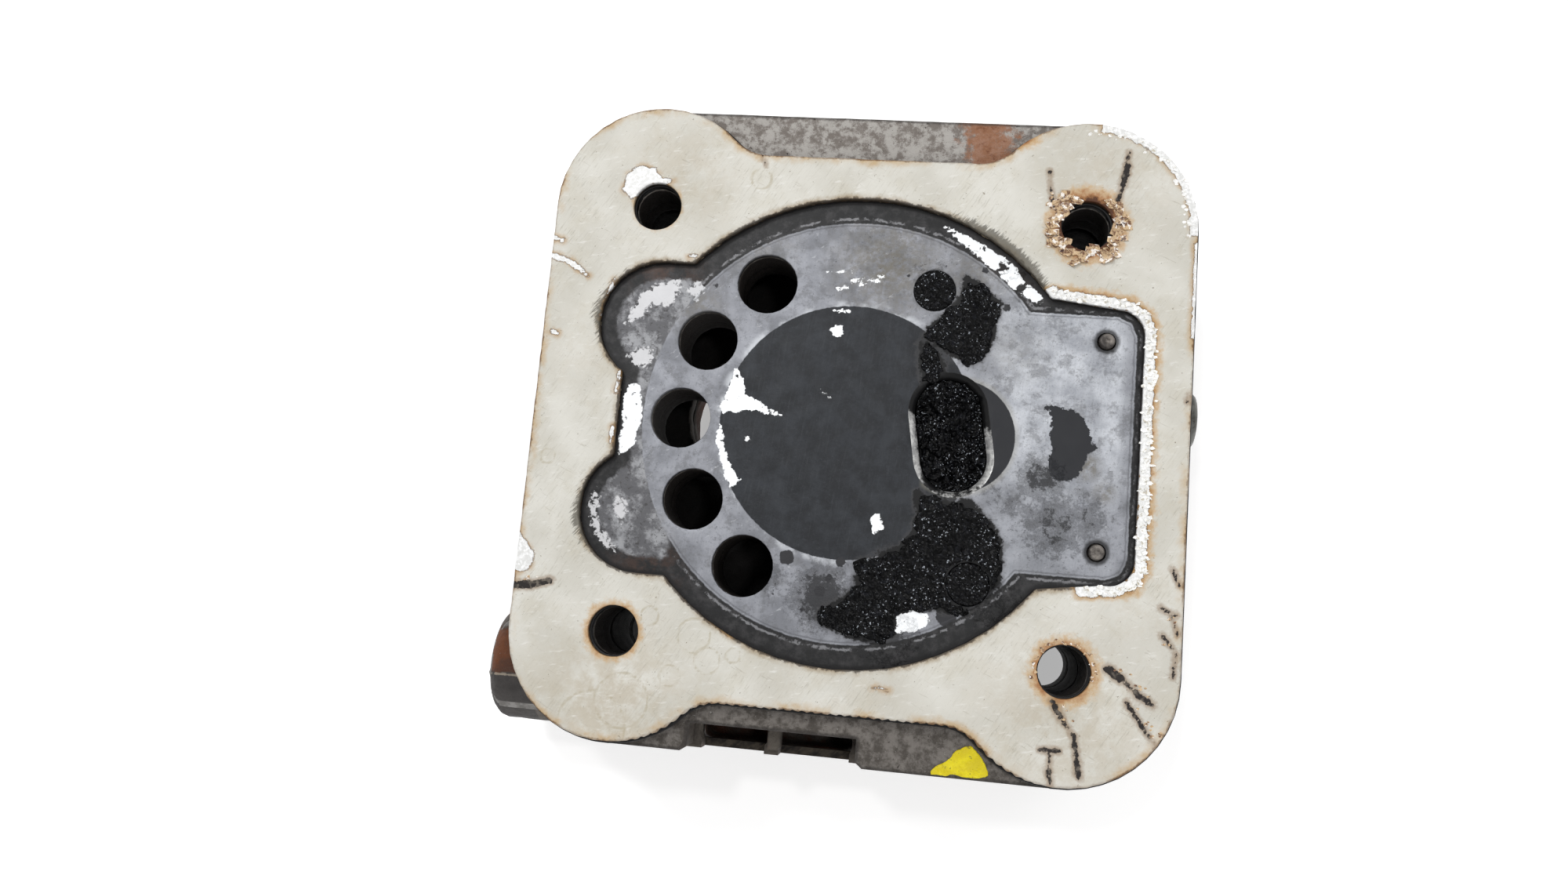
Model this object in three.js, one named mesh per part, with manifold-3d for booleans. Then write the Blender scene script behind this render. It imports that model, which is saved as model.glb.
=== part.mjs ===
// Cylinder head of a single-cylinder, water-cooled vehicle air compressor.
// Millimetres. The head lies on its top cover with its cylinder side up (+Z).
// Origin: on the bore axis, in the machined face of the valve plate.
import * as THREE from 'three';
import { mergeVertices } from 'three/addons/utils/BufferGeometryUtils.js';
import Module from 'manifold-3d';

const wasm = await Module();
wasm.setup();

// ---- driving dimensions ----
const BOLT = 43;                 // half the spacing of the four cylinder bolts
const BOLT_HOLE_R = 4.7;         // clearance for M8
const BODY_HALF = 64.6;          // half width of the square castings
const BODY_CORNER_R = BODY_HALF - BOLT;
const LOBE_R = 21;               // gasket corner round each bolt
const WAIST_Y = 54.8;            // gasket edge between the corners
const WAIST_FILLET_R = 10;
const WAIST_FILLET_X = 21;
const PAD_MARGIN = 0.5;          // machined pad beyond the gasket
const GAP = 0.3;                 // clearance round a piece in its hole
const PAST = 1;                  // how far a cut runs past a face, or a lump into its neighbour

// levels along Z
const GASKET_TOP = 1.6;
const LEDGE_Z = -1.4;            // as-cast ledge beside the machined pad
const PLATE_BOTTOM = -14;
const BODY_TOP = -15;            // 1 mm plate gasket between
const CHAMBER_FLOOR = -26.5;
const JACKET_ROOF = -28.5;       // coolant space in the head body
const BODY_BOTTOM = -31.6;
const COVER_TOP = -32.6;         // 1 mm cover gasket between
const JACKET_FLOOR = -37;        // coolant space in the cover
const COVER_FIELD = -39;
const COVER_BOTTOM = -41;        // seats that the head rests on

// cylinder bore pocket in the gasket
const POCKET_R = 46.5;
const BAY = { x: 40, y: 19, r: 12.5, inner: 30 };
const POCKET_WALL_X = -46.8;
const TAB = { x: 55, yIn: 28.2, yOut: 26.6, xIn: 36.9, xOut: 49, r: 5 };

// suction side
const SUCTION_R = 6.1;
const SUCTION_PITCH_R = 34.2;
const SUCTION_ANGLES = [124, 152, 180, 208, 236];
const CHAMBER_R = [25, 44];
const CHAMBER_ANGLES = [110, 262];
const CHANNEL = { right: -47, bendX: -5, bendY: -38, left: -33 };  // from the window to the chamber
const INTAKE = { x: -24, y: 5, r: 14, wall: 3.2, seat: 5.5, sides: 24 };

// discharge side: everything here lies along one slanted line
const DISCHARGE = { x: 19.4, y: 0.2, tilt: 10 };
const SLOT = { r: 6.55, half: 4.6, chamfer: 1.1 };
const REED = { r: 8.5, half: 29, top: -14.2, thick: 0.6, eyeR: 6.1 };
const STOP = { r: 8, top: -16.6, bottom: -19.6, padR: 5.5 };
const STOP_SCREW = { r: 3.9, headAcross: 13, head: 4.5, endZ: -0.2, chamfer: 0.5 };
const STOP_WASHER = { r: 7, thick: 1.2 };
const DISCHARGE_CHAMBER = { r: 13.5, half: 25.5 };
const DELIVERY = { r: 9, wall: 3.6, seat: 5, sides: 24 };

// coolant
const PORT_Z = -23.4;
const PORT_BORE_R = 7.2;
const INLET = { y: -52.1, r: 12, end: -72.3, root: -50, boreEnd: -54, wellX: -53.3, wellY: -51.2 };
const OUTLET = { x: 31, r: 11, end: 68.5, root: 54, boreEnd: 55, wellX: 31, wellY: 54.5 };
const WELL_R = 4.6;
const BOLT_SEAT_R = 12;          // raised seat round each bolt on the cover
const BOSS_CHAMFER = 2;
const COVER_MARGIN = 1;          // the cover is this much smaller than the body all round
const JACKET = { half: 61, cornerR: 18, boltBossR: 8.7, screwBossR: 5.6, cornerFrom: 38 };
const BRIDGES = { inlet: [3, 8], intake: [-3, 3], delivery: [-2, 4] };  // ribs across the jacket
const CORE_SLOT = { offset: -21, r: 4, half: 16, roof: -17.5 };

// opening in the front ledge, with its rim and web
const WINDOW = { x0: -27, x1: 5.5, y: -59.2, rimY: -63, rimZ: -9, webX0: -12, webX1: -9.8, webZ: -7 };
const WINDOW_WALL = 1;

// fasteners and small parts
const COVER_SCREWS = [[-17, 57], [17, 57], [57, 21], [57, -17], [17, -57], [-57, -17], [-57, 19]];
const COVER_SCREW = {
  r: 3, headR: 4.9, head: 3.5, seat: -35.1, tip: -20.5, socket: 5, socketDepth: 2,
  headChamfer: 0.4, tipChamfer: 0.6, space: 0.5,
};
const PINS = { x: 48, y: 20.4, r: 1.5, top: 0.9, bottom: -8, chamfer: 0.3 };
const DOWELS = { left: [-57, 1], right: [57, -4], r: 2.5, top: -8, bottom: -20.5, chamfer: 0.4 };
const PLUG = {
  y: 9.8, z: -22, r: 4, headR: 6, end: 69.2, tip: 50, washer: 1, washerR: 6.2,
  tipChamfer: 0.5, headChamfer: 1, socketCorner: 3, socketDepth: 2, bossR: 7, chamberOverlap: 3,
};
const COUNTERBORE = { r: 5.3, depth: 7.4 };

// shallow cast hollows in the walls of the head body, between its two flanges
const HOLLOW = { depth: 2.2, top: -18.5, bottom: -28 };
const HOLLOWS = [
  { side: 'back', from: -24, to: 18 },
  { side: 'left', from: -26, to: 30 },
  { side: 'right', from: -30, to: 30 },
  { side: 'front', from: 11, to: 26 },
];

// sides used for round cuts
const BOLT_SIDES = 20;
const HIDDEN_SIDES = 12;
const SCREW_SIDES = 16;
const SUCTION_SIDES = 24;
const PORT_SIDES = { boss: 28, bore: 24 };
const POCKET_SIDES = { bore: 56, bay: 28, tab: 6 };
const CRESCENT_SEGMENTS = 14;
const JACKET_SEGMENTS = 5;
const ARC_SEGMENTS = 8;
const HEX = 6;
const WELD = 1e-4;

// ---- materials ----
function finish(color, roughness, metalness) {
  return new THREE.MeshStandardMaterial({ color, roughness, metalness });
}
const CAST = finish(0x5d564d, 0.75, 0.5);
const MACHINED = finish(0x8b8d92, 0.45, 0.8);
const COATED = finish(0xd2d0c4, 0.6, 0.0);
const PAPER = finish(0x3a3835, 0.9, 0.0);
const STEEL = finish(0x70737a, 0.4, 0.9);
const SPRING = finish(0x4c5563, 0.3, 0.9);
const COPPER = finish(0xa8683f, 0.4, 0.9);

// ---- solids ----
function toSolid(geometry) {
  geometry.deleteAttribute('normal');
  geometry.deleteAttribute('uv');
  const merged = mergeVertices(geometry, WELD);
  const faces = [];
  const index = merged.index.array;
  for (let i = 0; i < index.length; i += 3) {
    const [a, b, c] = [index[i], index[i + 1], index[i + 2]];
    if (a !== b && b !== c && c !== a) faces.push(a, b, c);
  }
  const vertProperties = new Float32Array(merged.attributes.position.array);
  const triVerts = new Uint32Array(faces);
  return new wasm.Manifold(new wasm.Mesh({ numProp: 3, vertProperties, triVerts }));
}

function toGeometry(solid) {
  const mesh = solid.getMesh();
  const geometry = new THREE.BufferGeometry();
  geometry.setAttribute('position', new THREE.BufferAttribute(mesh.vertProperties, 3));
  geometry.setIndex(new THREE.BufferAttribute(mesh.triVerts, 1));
  geometry.computeVertexNormals();
  return geometry;
}

function prism(shape, z0, z1, curveSegments = ARC_SEGMENTS) {
  const settings = { depth: z1 - z0, bevelEnabled: false, curveSegments };
  return toSolid(new THREE.ExtrudeGeometry(shape, settings).translate(0, 0, z0));
}

function rod(x, y, r, z0, z1, sides = BOLT_SIDES) {
  const geometry = new THREE.CylinderGeometry(r, r, z1 - z0, sides).rotateX(Math.PI / 2);
  return toSolid(geometry.translate(x, y, (z0 + z1) / 2));
}

function box(x0, x1, y0, y1, z0, z1) {
  const geometry = new THREE.BoxGeometry(x1 - x0, y1 - y0, z1 - z0);
  return toSolid(geometry.translate((x0 + x1) / 2, (y0 + y1) / 2, (z0 + z1) / 2));
}

// A turned piece along +Z from [radius, height] pairs.
function turned(profile, sides = BOLT_SIDES) {
  const points = profile.map(([r, z]) => new THREE.Vector2(r, z));
  return new THREE.LatheGeometry(points, sides).rotateX(Math.PI / 2);
}

function join(first, ...others) {
  return others.reduce((sum, one) => sum.add(one), first);
}

function cut(first, ...others) {
  return others.reduce((rest, one) => rest.subtract(one), first);
}

// ---- outlines ----
const QUARTER = Math.PI / 2;
const radians = THREE.MathUtils.degToRad;

function roundedSquare(half, r) {
  const inner = half - r;
  const shape = new THREE.Shape();
  shape.absarc(inner, inner, r, 0, QUARTER);
  shape.absarc(-inner, inner, r, QUARTER, 2 * QUARTER);
  shape.absarc(-inner, -inner, r, 2 * QUARTER, 3 * QUARTER);
  shape.absarc(inner, -inner, r, 3 * QUARTER, 4 * QUARTER);
  return shape;
}

// The waisted outline of the machined pad: four round corners joined by hollow fillets.
function waisted(margin) {
  const r = LOBE_R + margin;
  const fillet = WAIST_FILLET_R - margin;
  const fy = WAIST_Y + WAIST_FILLET_R;
  const meet = Math.atan2(fy - BOLT, BOLT - WAIST_FILLET_X);
  const shape = new THREE.Shape();
  shape.absarc(BOLT, BOLT, r, 0, Math.PI - meet);
  shape.absarc(WAIST_FILLET_X, fy, fillet, -meet, -QUARTER, true);
  shape.absarc(-WAIST_FILLET_X, fy, fillet, -QUARTER, meet - Math.PI, true);
  shape.absarc(-BOLT, BOLT, r, meet, Math.PI);
  shape.absarc(-BOLT, -BOLT, r, Math.PI, 2 * Math.PI - meet);
  shape.absarc(-WAIST_FILLET_X, -fy, fillet, Math.PI - meet, QUARTER, true);
  shape.absarc(WAIST_FILLET_X, -fy, fillet, QUARTER, meet, true);
  shape.absarc(BOLT, -BOLT, r, Math.PI + meet, 2 * Math.PI);
  return shape;
}

// A slot with round ends, centred on the slanted discharge line, shifted sideways by offset.
function stadium(r, half, offset = 0) {
  const shape = new THREE.Shape();
  shape.absarc(offset, half, r, 0, Math.PI);
  shape.absarc(offset, -half, r, Math.PI, 2 * Math.PI);
  return shape;
}

// Turns a solid built round the local Y axis onto the discharge line.
function onDischargeLine(solid) {
  return solid.rotate([0, 0, DISCHARGE.tilt]).translate([DISCHARGE.x, DISCHARGE.y, 0]);
}

function alongDischargeLine(distance) {
  const angle = radians(DISCHARGE.tilt);
  return [DISCHARGE.x - distance * Math.sin(angle), DISCHARGE.y + distance * Math.cos(angle)];
}

const STOP_SCREWS = { upper: alongDischargeLine(REED.half), lower: alongDischargeLine(-REED.half) };

function atBolts(make) {
  const places = [[1, 1], [-1, 1], [-1, -1], [1, -1]];
  return places.map(([sx, sy]) => make(sx * BOLT, sy * BOLT));
}

function through(r) {
  return (x, y) => rod(x, y, r, COVER_BOTTOM - PAST, GASKET_TOP + PAST);
}

// ---- gasket on the cylinder side ----
function pocket(z0, z1) {
  const bore = rod(0, 0, POCKET_R, z0, z1, POCKET_SIDES.bore);
  const tab = new THREE.Shape();
  const { x, yIn, yOut, xIn, xOut, r } = TAB;
  tab.moveTo(0, -yIn);
  tab.lineTo(xIn, -yIn);
  tab.lineTo(xOut, -yOut);
  tab.absarc(x - r, -yOut + r, r, -QUARTER, 0);
  tab.absarc(x - r, yOut - r, r, 0, QUARTER);
  tab.lineTo(xIn, yIn);
  tab.lineTo(0, yIn);
  const bays = [1, -1].map((side) => (
    rod(-BAY.x, side * BAY.y, BAY.r, z0, z1, POCKET_SIDES.bay)));
  const reach = BAY.y + BAY.r;
  const behindBays = box(-BAY.x, -BAY.inner, -reach, reach, z0, z1);
  const wall = box(POCKET_WALL_X, 0, -BAY.y, BAY.y, z0, z1);
  return join(bore, prism(tab, z0, z1, POCKET_SIDES.tab), ...bays, behindBays, wall);
}

function blockGasket() {
  const sheet = prism(waisted(0), 0, GASKET_TOP);
  const holes = atBolts(through(BOLT_HOLE_R + GAP));
  return cut(sheet, pocket(-PAST, GASKET_TOP + PAST), ...holes);
}

// ---- valve plate ----
function suctionHoles() {
  return SUCTION_ANGLES.map((degrees) => {
    const angle = radians(degrees);
    const x = SUCTION_PITCH_R * Math.cos(angle);
    const y = SUCTION_PITCH_R * Math.sin(angle);
    return rod(x, y, SUCTION_R, PLATE_BOTTOM - PAST, PAST, SUCTION_SIDES);
  });
}

function dischargeSlot() {
  const bore = prism(stadium(SLOT.r, SLOT.half), PLATE_BOTTOM - PAST, PAST);
  const settings = {
    depth: PAST,
    curveSegments: ARC_SEGMENTS,
    bevelSegments: 1,
    bevelSize: SLOT.chamfer,
    bevelThickness: SLOT.chamfer,
  };
  const mouth = toSolid(new THREE.ExtrudeGeometry(stadium(SLOT.r, SLOT.half), settings));
  return onDischargeLine(bore.add(mouth));
}

// The window breaks out of the front ledge; a low rim and a web cross it.
function frontWindow(floor) {
  const w = WINDOW;
  const front = -BODY_HALF - PAST;
  const mouth = box(w.x0, w.x1, front, w.y, w.rimZ, PAST);
  const well = box(w.x0 + WINDOW_WALL, w.x1 - WINDOW_WALL, w.rimY, w.y, floor, PAST);
  const web = box(w.webX0, w.webX1, w.rimY, w.y, floor, w.webZ);
  return join(mouth, well).subtract(web);
}

function valvePlate() {
  const casting = prism(roundedSquare(BODY_HALF, BODY_CORNER_R), PLATE_BOTTOM, LEDGE_Z);
  const pad = prism(waisted(PAD_MARGIN), LEDGE_Z, 0);
  const screws = Object.values(STOP_SCREWS).map(([x, y]) => (
    rod(x, y, STOP_SCREW.r + GAP, PLATE_BOTTOM - PAST, PAST)));
  const pins = [1, -1].map((side) => (
    rod(PINS.x, side * PINS.y, PINS.r + GAP, PINS.bottom - GAP, PAST, SCREW_SIDES)));
  const dowels = [DOWELS.left, DOWELS.right].map(([x, y]) => (
    rod(x, y, DOWELS.r + GAP, PLATE_BOTTOM - PAST, DOWELS.top + GAP, HIDDEN_SIDES)));
  return cut(casting.add(pad), ...atBolts(through(BOLT_HOLE_R)), ...suctionHoles(),
    dischargeSlot(), frontWindow(PLATE_BOTTOM - PAST), ...screws, ...pins, ...dowels);
}

// ---- spaces inside the head body ----
function suctionChamber(z0, z1) {
  const [from, to] = CHAMBER_ANGLES.map(radians);
  const crescent = new THREE.Shape();
  crescent.absarc(0, 0, CHAMBER_R[1], from, to);
  crescent.absarc(0, 0, CHAMBER_R[0], to, from, true);
  const w = WINDOW;
  const channel = new THREE.Shape();
  const [left, right] = [w.x0 + WINDOW_WALL, w.x1 - WINDOW_WALL];
  channel.moveTo(left, w.rimY);
  channel.lineTo(right, w.rimY);
  channel.lineTo(right, CHANNEL.right);
  channel.lineTo(CHANNEL.bendX, CHANNEL.bendY);
  channel.lineTo(left, CHANNEL.left);
  return join(prism(crescent, z0, z1, CRESCENT_SEGMENTS), prism(channel, z0, z1),
    rod(INTAKE.x, INTAKE.y, INTAKE.r, z0, z1, INTAKE.sides));
}

function dischargeChamber(z0, z1) {
  return onDischargeLine(prism(stadium(DISCHARGE_CHAMBER.r, DISCHARGE_CHAMBER.half), z0, z1));
}

// Coolant space: it goes round the bolts, the cover screws and the two air passages.
function jacket(z0, z1) {
  const space = prism(roundedSquare(JACKET.half, JACKET.cornerR), z0, z1, JACKET_SEGMENTS);
  const [low, high] = [z0 - PAST, z1 + PAST];
  const bosses = atBolts((x, y) => rod(x, y, JACKET.boltBossR, low, high, HIDDEN_SIDES));
  const far = BODY_HALF;
  const near = JACKET.cornerFrom;
  const corners = [[near, far, near, far], [-far, -near, near, far], [near, far, -far, -near]];
  const solidCorners = corners.map(([x0, x1, y0, y1]) => box(x0, x1, y0, y1, low, high));
  const bridges = [
    box(-far, -BOLT, BRIDGES.inlet[0] - BOLT, BRIDGES.inlet[1] - BOLT, low, high),
    box(-far, INTAKE.x, INTAKE.y + BRIDGES.intake[0], INTAKE.y + BRIDGES.intake[1], low, high),
    box(DISCHARGE.x, far, DISCHARGE.y + BRIDGES.delivery[0], DISCHARGE.y + BRIDGES.delivery[1],
      low, high),
  ];
  const screwBosses = COVER_SCREWS.map(([x, y]) => (
    rod(x, y, JACKET.screwBossR, low, high, HIDDEN_SIDES)));
  const tubes = [
    rod(INTAKE.x, INTAKE.y, INTAKE.r + INTAKE.wall, low, high, INTAKE.sides),
    rod(DISCHARGE.x, DISCHARGE.y, DELIVERY.r + DELIVERY.wall, low, high, BOLT_SIDES),
  ];
  return cut(space, ...bosses, ...solidCorners, ...bridges, ...screwBosses, ...tubes);
}

// ---- coolant ports ----
function portBoss(r, length) {
  const c = BOSS_CHAMFER;
  const profile = [[0, 0], [r, 0], [r, length - c], [r - c, length], [0, length]];
  return toSolid(turned(profile, PORT_SIDES.boss));
}

function portBore(length) {
  const profile = [[0, 0], [PORT_BORE_R, 0], [PORT_BORE_R, length], [0, length]];
  return toSolid(turned(profile, PORT_SIDES.bore));
}

function leftwards(solid, x, y, z) {
  return solid.rotate([0, -90, 0]).translate([x, y, z]);
}

function backwards(solid, x, y, z) {
  return solid.rotate([-90, 0, 0]).translate([x, y, z]);
}

function portBosses() {
  const inlet = leftwards(portBoss(INLET.r, INLET.root - INLET.end), INLET.root, INLET.y, PORT_Z);
  const outlet = backwards(portBoss(OUTLET.r, OUTLET.end - OUTLET.root), OUTLET.x, OUTLET.root, PORT_Z);
  const outline = roundedSquare(BODY_HALF + GAP, BODY_CORNER_R + GAP);
  const abovePlate = prism(outline, BODY_TOP, PAST);
  const belowBody = prism(outline, COVER_BOTTOM, BODY_BOTTOM);
  return cut(inlet.add(outlet), abovePlate, belowBody);
}

function portPassages() {
  const inletBore = leftwards(
    portBore(INLET.boreEnd - INLET.end + PAST), INLET.boreEnd, INLET.y, PORT_Z);
  const outletBore = backwards(
    portBore(OUTLET.end - OUTLET.boreEnd + PAST), OUTLET.x, OUTLET.boreEnd, PORT_Z);
  const wells = [INLET, OUTLET].map((port) => (
    rod(port.wellX, port.wellY, WELL_R, BODY_BOTTOM - PAST, PORT_Z, HIDDEN_SIDES)));
  return [inletBore, outletBore, ...wells];
}

// ---- head body ----
function wallHollows() {
  const outer = BODY_HALF + PAST;
  const inner = BODY_HALF - HOLLOW.depth;
  const spans = {
    back: (from, to) => [from, to, inner, outer],
    front: (from, to) => [from, to, -outer, -inner],
    left: (from, to) => [-outer, -inner, from, to],
    right: (from, to) => [inner, outer, from, to],
  };
  return HOLLOWS.map(({ side, from, to }) => (
    box(...spans[side](from, to), HOLLOW.bottom, HOLLOW.top)));
}

// A short stub along +X from the wall, on the axis of the side plug.
function plugRod(r, from, to, sides) {
  const geometry = new THREE.CylinderGeometry(r, r, to - from, sides);
  return toSolid(geometry.rotateZ(QUARTER).translate((from + to) / 2, PLUG.y, PLUG.z));
}

function headBody() {
  const block = prism(roundedSquare(BODY_HALF, BODY_CORNER_R), BODY_BOTTOM, BODY_TOP);
  const plugBoss = plugRod(PLUG.bossR, BODY_HALF - HOLLOW.depth - PAST, BODY_HALF, PORT_SIDES.bore);
  const casting = join(cut(block, ...wallHollows()), portBosses(), plugBoss);
  const high = BODY_TOP + PAST;
  const steps = atBolts((x, y) => rod(x, y, COUNTERBORE.r, BODY_TOP - COUNTERBORE.depth, high));
  const coreSlot = onDischargeLine(
    prism(stadium(CORE_SLOT.r, CORE_SLOT.half, CORE_SLOT.offset), BODY_BOTTOM - PAST, CORE_SLOT.roof));
  const passages = [
    rod(INTAKE.x, INTAKE.y, INTAKE.r, BODY_BOTTOM - PAST, CHAMBER_FLOOR + PAST, INTAKE.sides),
    rod(DISCHARGE.x, DISCHARGE.y, DELIVERY.r, BODY_BOTTOM - PAST, CHAMBER_FLOOR + PAST,
      DELIVERY.sides),
  ];
  const screwHoles = COVER_SCREWS.map(([x, y]) => (
    rod(x, y, COVER_SCREW.r + GAP, BODY_BOTTOM - PAST, COVER_SCREW.tip + COVER_SCREW.space,
      HIDDEN_SIDES)));
  const dowels = [DOWELS.left, DOWELS.right].map(([x, y]) => (
    rod(x, y, DOWELS.r + GAP, DOWELS.bottom - GAP, high, HIDDEN_SIDES)));
  const chamberEdge = DISCHARGE.x + DISCHARGE_CHAMBER.r - PLUG.chamberOverlap;
  const plugHole = plugRod(PLUG.r + GAP, chamberEdge, BODY_HALF + PAST, SCREW_SIDES);
  return cut(casting, ...atBolts(through(BOLT_HOLE_R)), ...steps,
    suctionChamber(CHAMBER_FLOOR, high), dischargeChamber(CHAMBER_FLOOR, high),
    jacket(BODY_BOTTOM - PAST, JACKET_ROOF), coreSlot, ...passages, ...portPassages(), plugHole,
    ...screwHoles, ...dowels);
}

// ---- inner gaskets ----
function coverOutline() {
  return roundedSquare(BODY_HALF - COVER_MARGIN, BODY_CORNER_R - COVER_MARGIN);
}

function plateGasket() {
  const sheet = prism(roundedSquare(BODY_HALF, BODY_CORNER_R), BODY_TOP, PLATE_BOTTOM);
  const [low, high] = [BODY_TOP - PAST, PLATE_BOTTOM + PAST];
  const dowels = [DOWELS.left, DOWELS.right].map(([x, y]) => (
    rod(x, y, DOWELS.r + GAP, low, high, HIDDEN_SIDES)));
  return cut(sheet, ...atBolts(through(COUNTERBORE.r)), suctionChamber(low, high),
    dischargeChamber(low, high), ...dowels);
}

function coverGasket() {
  const sheet = prism(coverOutline(), COVER_TOP, BODY_BOTTOM);
  const [low, high] = [COVER_TOP - PAST, BODY_BOTTOM + PAST];
  const screws = COVER_SCREWS.map(([x, y]) => rod(x, y, COVER_SCREW.r + GAP, low, high, HIDDEN_SIDES));
  return cut(sheet, jacket(low, high), ...atBolts(through(BOLT_HOLE_R)), ...screws,
    rod(INTAKE.x, INTAKE.y, INTAKE.r, low, high, INTAKE.sides),
    rod(DISCHARGE.x, DISCHARGE.y, DELIVERY.r, low, high, DELIVERY.sides));
}

// ---- top cover ----
function topCover() {
  const slab = prism(coverOutline(), COVER_FIELD, COVER_TOP);
  const low = COVER_BOTTOM;
  const seatTop = COVER_FIELD + PAST;
  const high = COVER_TOP + PAST;
  const seats = join(
    rod(INTAKE.x, INTAKE.y, INTAKE.r + INTAKE.seat, low, seatTop, INTAKE.sides),
    rod(DISCHARGE.x, DISCHARGE.y, DELIVERY.r + DELIVERY.seat, low, seatTop, DELIVERY.sides),
    ...atBolts((x, y) => rod(x, y, BOLT_SEAT_R, low, seatTop, PORT_SIDES.bore)));
  const screws = COVER_SCREWS.flatMap(([x, y]) => [
    rod(x, y, COVER_SCREW.r + GAP, low, high, HIDDEN_SIDES),
    rod(x, y, COVER_SCREW.headR + COVER_SCREW.space, low, COVER_SCREW.seat, SCREW_SIDES),
  ]);
  return cut(slab.add(seats), jacket(JACKET_FLOOR, high), ...atBolts(through(BOLT_HOLE_R)),
    rod(INTAKE.x, INTAKE.y, INTAKE.r, low - PAST, high, INTAKE.sides),
    rod(DISCHARGE.x, DISCHARGE.y, DELIVERY.r, low - PAST, high, DELIVERY.sides), ...screws);
}

// ---- discharge valve ----
function dischargeReed() {
  const bottom = REED.top - REED.thick;
  const leaf = prism(stadium(REED.r, REED.half), bottom, REED.top);
  const eyes = [1, -1].map((side) => (
    rod(0, side * REED.half, REED.eyeR, bottom - PAST, REED.top + PAST)));
  return onDischargeLine(cut(leaf, ...eyes));
}

function dischargeStop() {
  const bar = prism(stadium(STOP.r, REED.half), STOP.bottom, STOP.top);
  const ends = [1, -1].map((side) => side * REED.half);
  const pads = ends.map((y) => rod(0, y, STOP.padR, STOP.bottom, PLATE_BOTTOM));
  const holes = ends.map((y) => rod(0, y, STOP_SCREW.r + GAP, STOP.bottom - PAST, PLATE_BOTTOM + PAST));
  return onDischargeLine(cut(join(bar, ...pads), ...holes));
}

function stopWasher() {
  const inner = STOP_SCREW.r + GAP;
  const low = STOP.bottom - STOP_WASHER.thick;
  return turned([[inner, low], [STOP_WASHER.r, low], [STOP_WASHER.r, STOP.bottom],
    [inner, STOP.bottom], [inner, low]]);
}

function stopScrew() {
  const seat = STOP.bottom - STOP_WASHER.thick;
  const corner = STOP_SCREW.headAcross / Math.sqrt(3);
  const head = rod(0, 0, corner, seat - STOP_SCREW.head, seat, HEX);
  const { r, endZ, chamfer } = STOP_SCREW;
  const shank = toSolid(turned([[0, seat - PAST], [r, seat - PAST], [r, endZ - chamfer],
    [r - chamfer, endZ], [0, endZ]]));
  return head.add(shank);
}

// ---- other small parts ----
function coverScrew() {
  const s = COVER_SCREW;
  const low = s.seat - s.head;
  const profile = [[0, low], [s.headR - s.headChamfer, low], [s.headR, low + s.headChamfer],
    [s.headR, s.seat], [s.r, s.seat], [s.r, s.tip - s.tipChamfer], [s.r - s.tipChamfer, s.tip],
    [0, s.tip]];
  const body = toSolid(turned(profile, SCREW_SIDES));
  const socket = rod(0, 0, s.socket / Math.sqrt(3), low - PAST, low + s.socketDepth, HEX);
  return body.subtract(socket);
}

function reedPin() {
  const { r, top, bottom, chamfer } = PINS;
  return turned([[0, bottom], [r, bottom], [r, top - chamfer], [r - chamfer, top], [0, top]],
    HIDDEN_SIDES);
}

function locatingDowel() {
  const { r, top, bottom, chamfer } = DOWELS;
  return turned([[0, bottom], [r - chamfer, bottom], [r, bottom + chamfer], [r, top - chamfer],
    [r - chamfer, top], [0, top]], HIDDEN_SIDES);
}

// The plug lies along +X: its profile runs from the tip outwards.
function sidePlug() {
  const { r, headR, end, tip, washer, tipChamfer, headChamfer } = PLUG;
  const seat = BODY_HALF + washer;
  const profile = [[0, tip], [r - tipChamfer, tip], [r, tip + tipChamfer], [r, seat], [headR, seat],
    [headR, end - headChamfer], [headR - headChamfer, end], [0, end]];
  const body = toSolid(turned(profile));
  return body.subtract(rod(0, 0, PLUG.socketCorner, end - PLUG.socketDepth, end + PAST, HEX));
}

function sidePlugWasher() {
  const inner = PLUG.r + GAP;
  const outer = BODY_HALF + PLUG.washer;
  return turned([[inner, BODY_HALF], [PLUG.washerR, BODY_HALF], [PLUG.washerR, outer],
    [inner, outer], [inner, BODY_HALF]]);
}

// ---- assembly ----
const head = new THREE.Group();
head.name = 'cylinder_head';

function place(parent, name, shape, material, x = 0, y = 0, z = 0) {
  const geometry = shape.isBufferGeometry ? shape : toGeometry(shape);
  const mesh = new THREE.Mesh(geometry, material);
  mesh.name = name;
  mesh.position.set(x, y, z);
  parent.add(mesh);
  return mesh;
}

place(head, 'block_gasket', blockGasket(), COATED);
place(head, 'valve_plate', valvePlate(), MACHINED);
place(head, 'plate_gasket', plateGasket(), PAPER);
place(head, 'head_body', headBody(), CAST);
place(head, 'cover_gasket', coverGasket(), PAPER);
place(head, 'top_cover', topCover(), CAST);

place(head, 'reed_pin_upper', reedPin(), STEEL, PINS.x, PINS.y);
place(head, 'reed_pin_lower', reedPin(), STEEL, PINS.x, -PINS.y);

const valve = new THREE.Group();
head.add(valve);
place(valve, 'discharge_reed', dischargeReed(), SPRING);
place(valve, 'discharge_stop', dischargeStop(), STEEL);
for (const [side, [x, y]] of Object.entries(STOP_SCREWS)) {
  place(valve, `stop_screw_${side}`, stopScrew(), STEEL, x, y);
  place(valve, `stop_washer_${side}`, stopWasher(), STEEL, x, y);
}

COVER_SCREWS.forEach(([x, y], index) => {
  place(head, `cover_screw_${index + 1}`, coverScrew(), STEEL, x, y);
});
place(head, 'locating_dowel_left', locatingDowel(), STEEL, ...DOWELS.left);
place(head, 'locating_dowel_right', locatingDowel(), STEEL, ...DOWELS.right);

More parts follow.
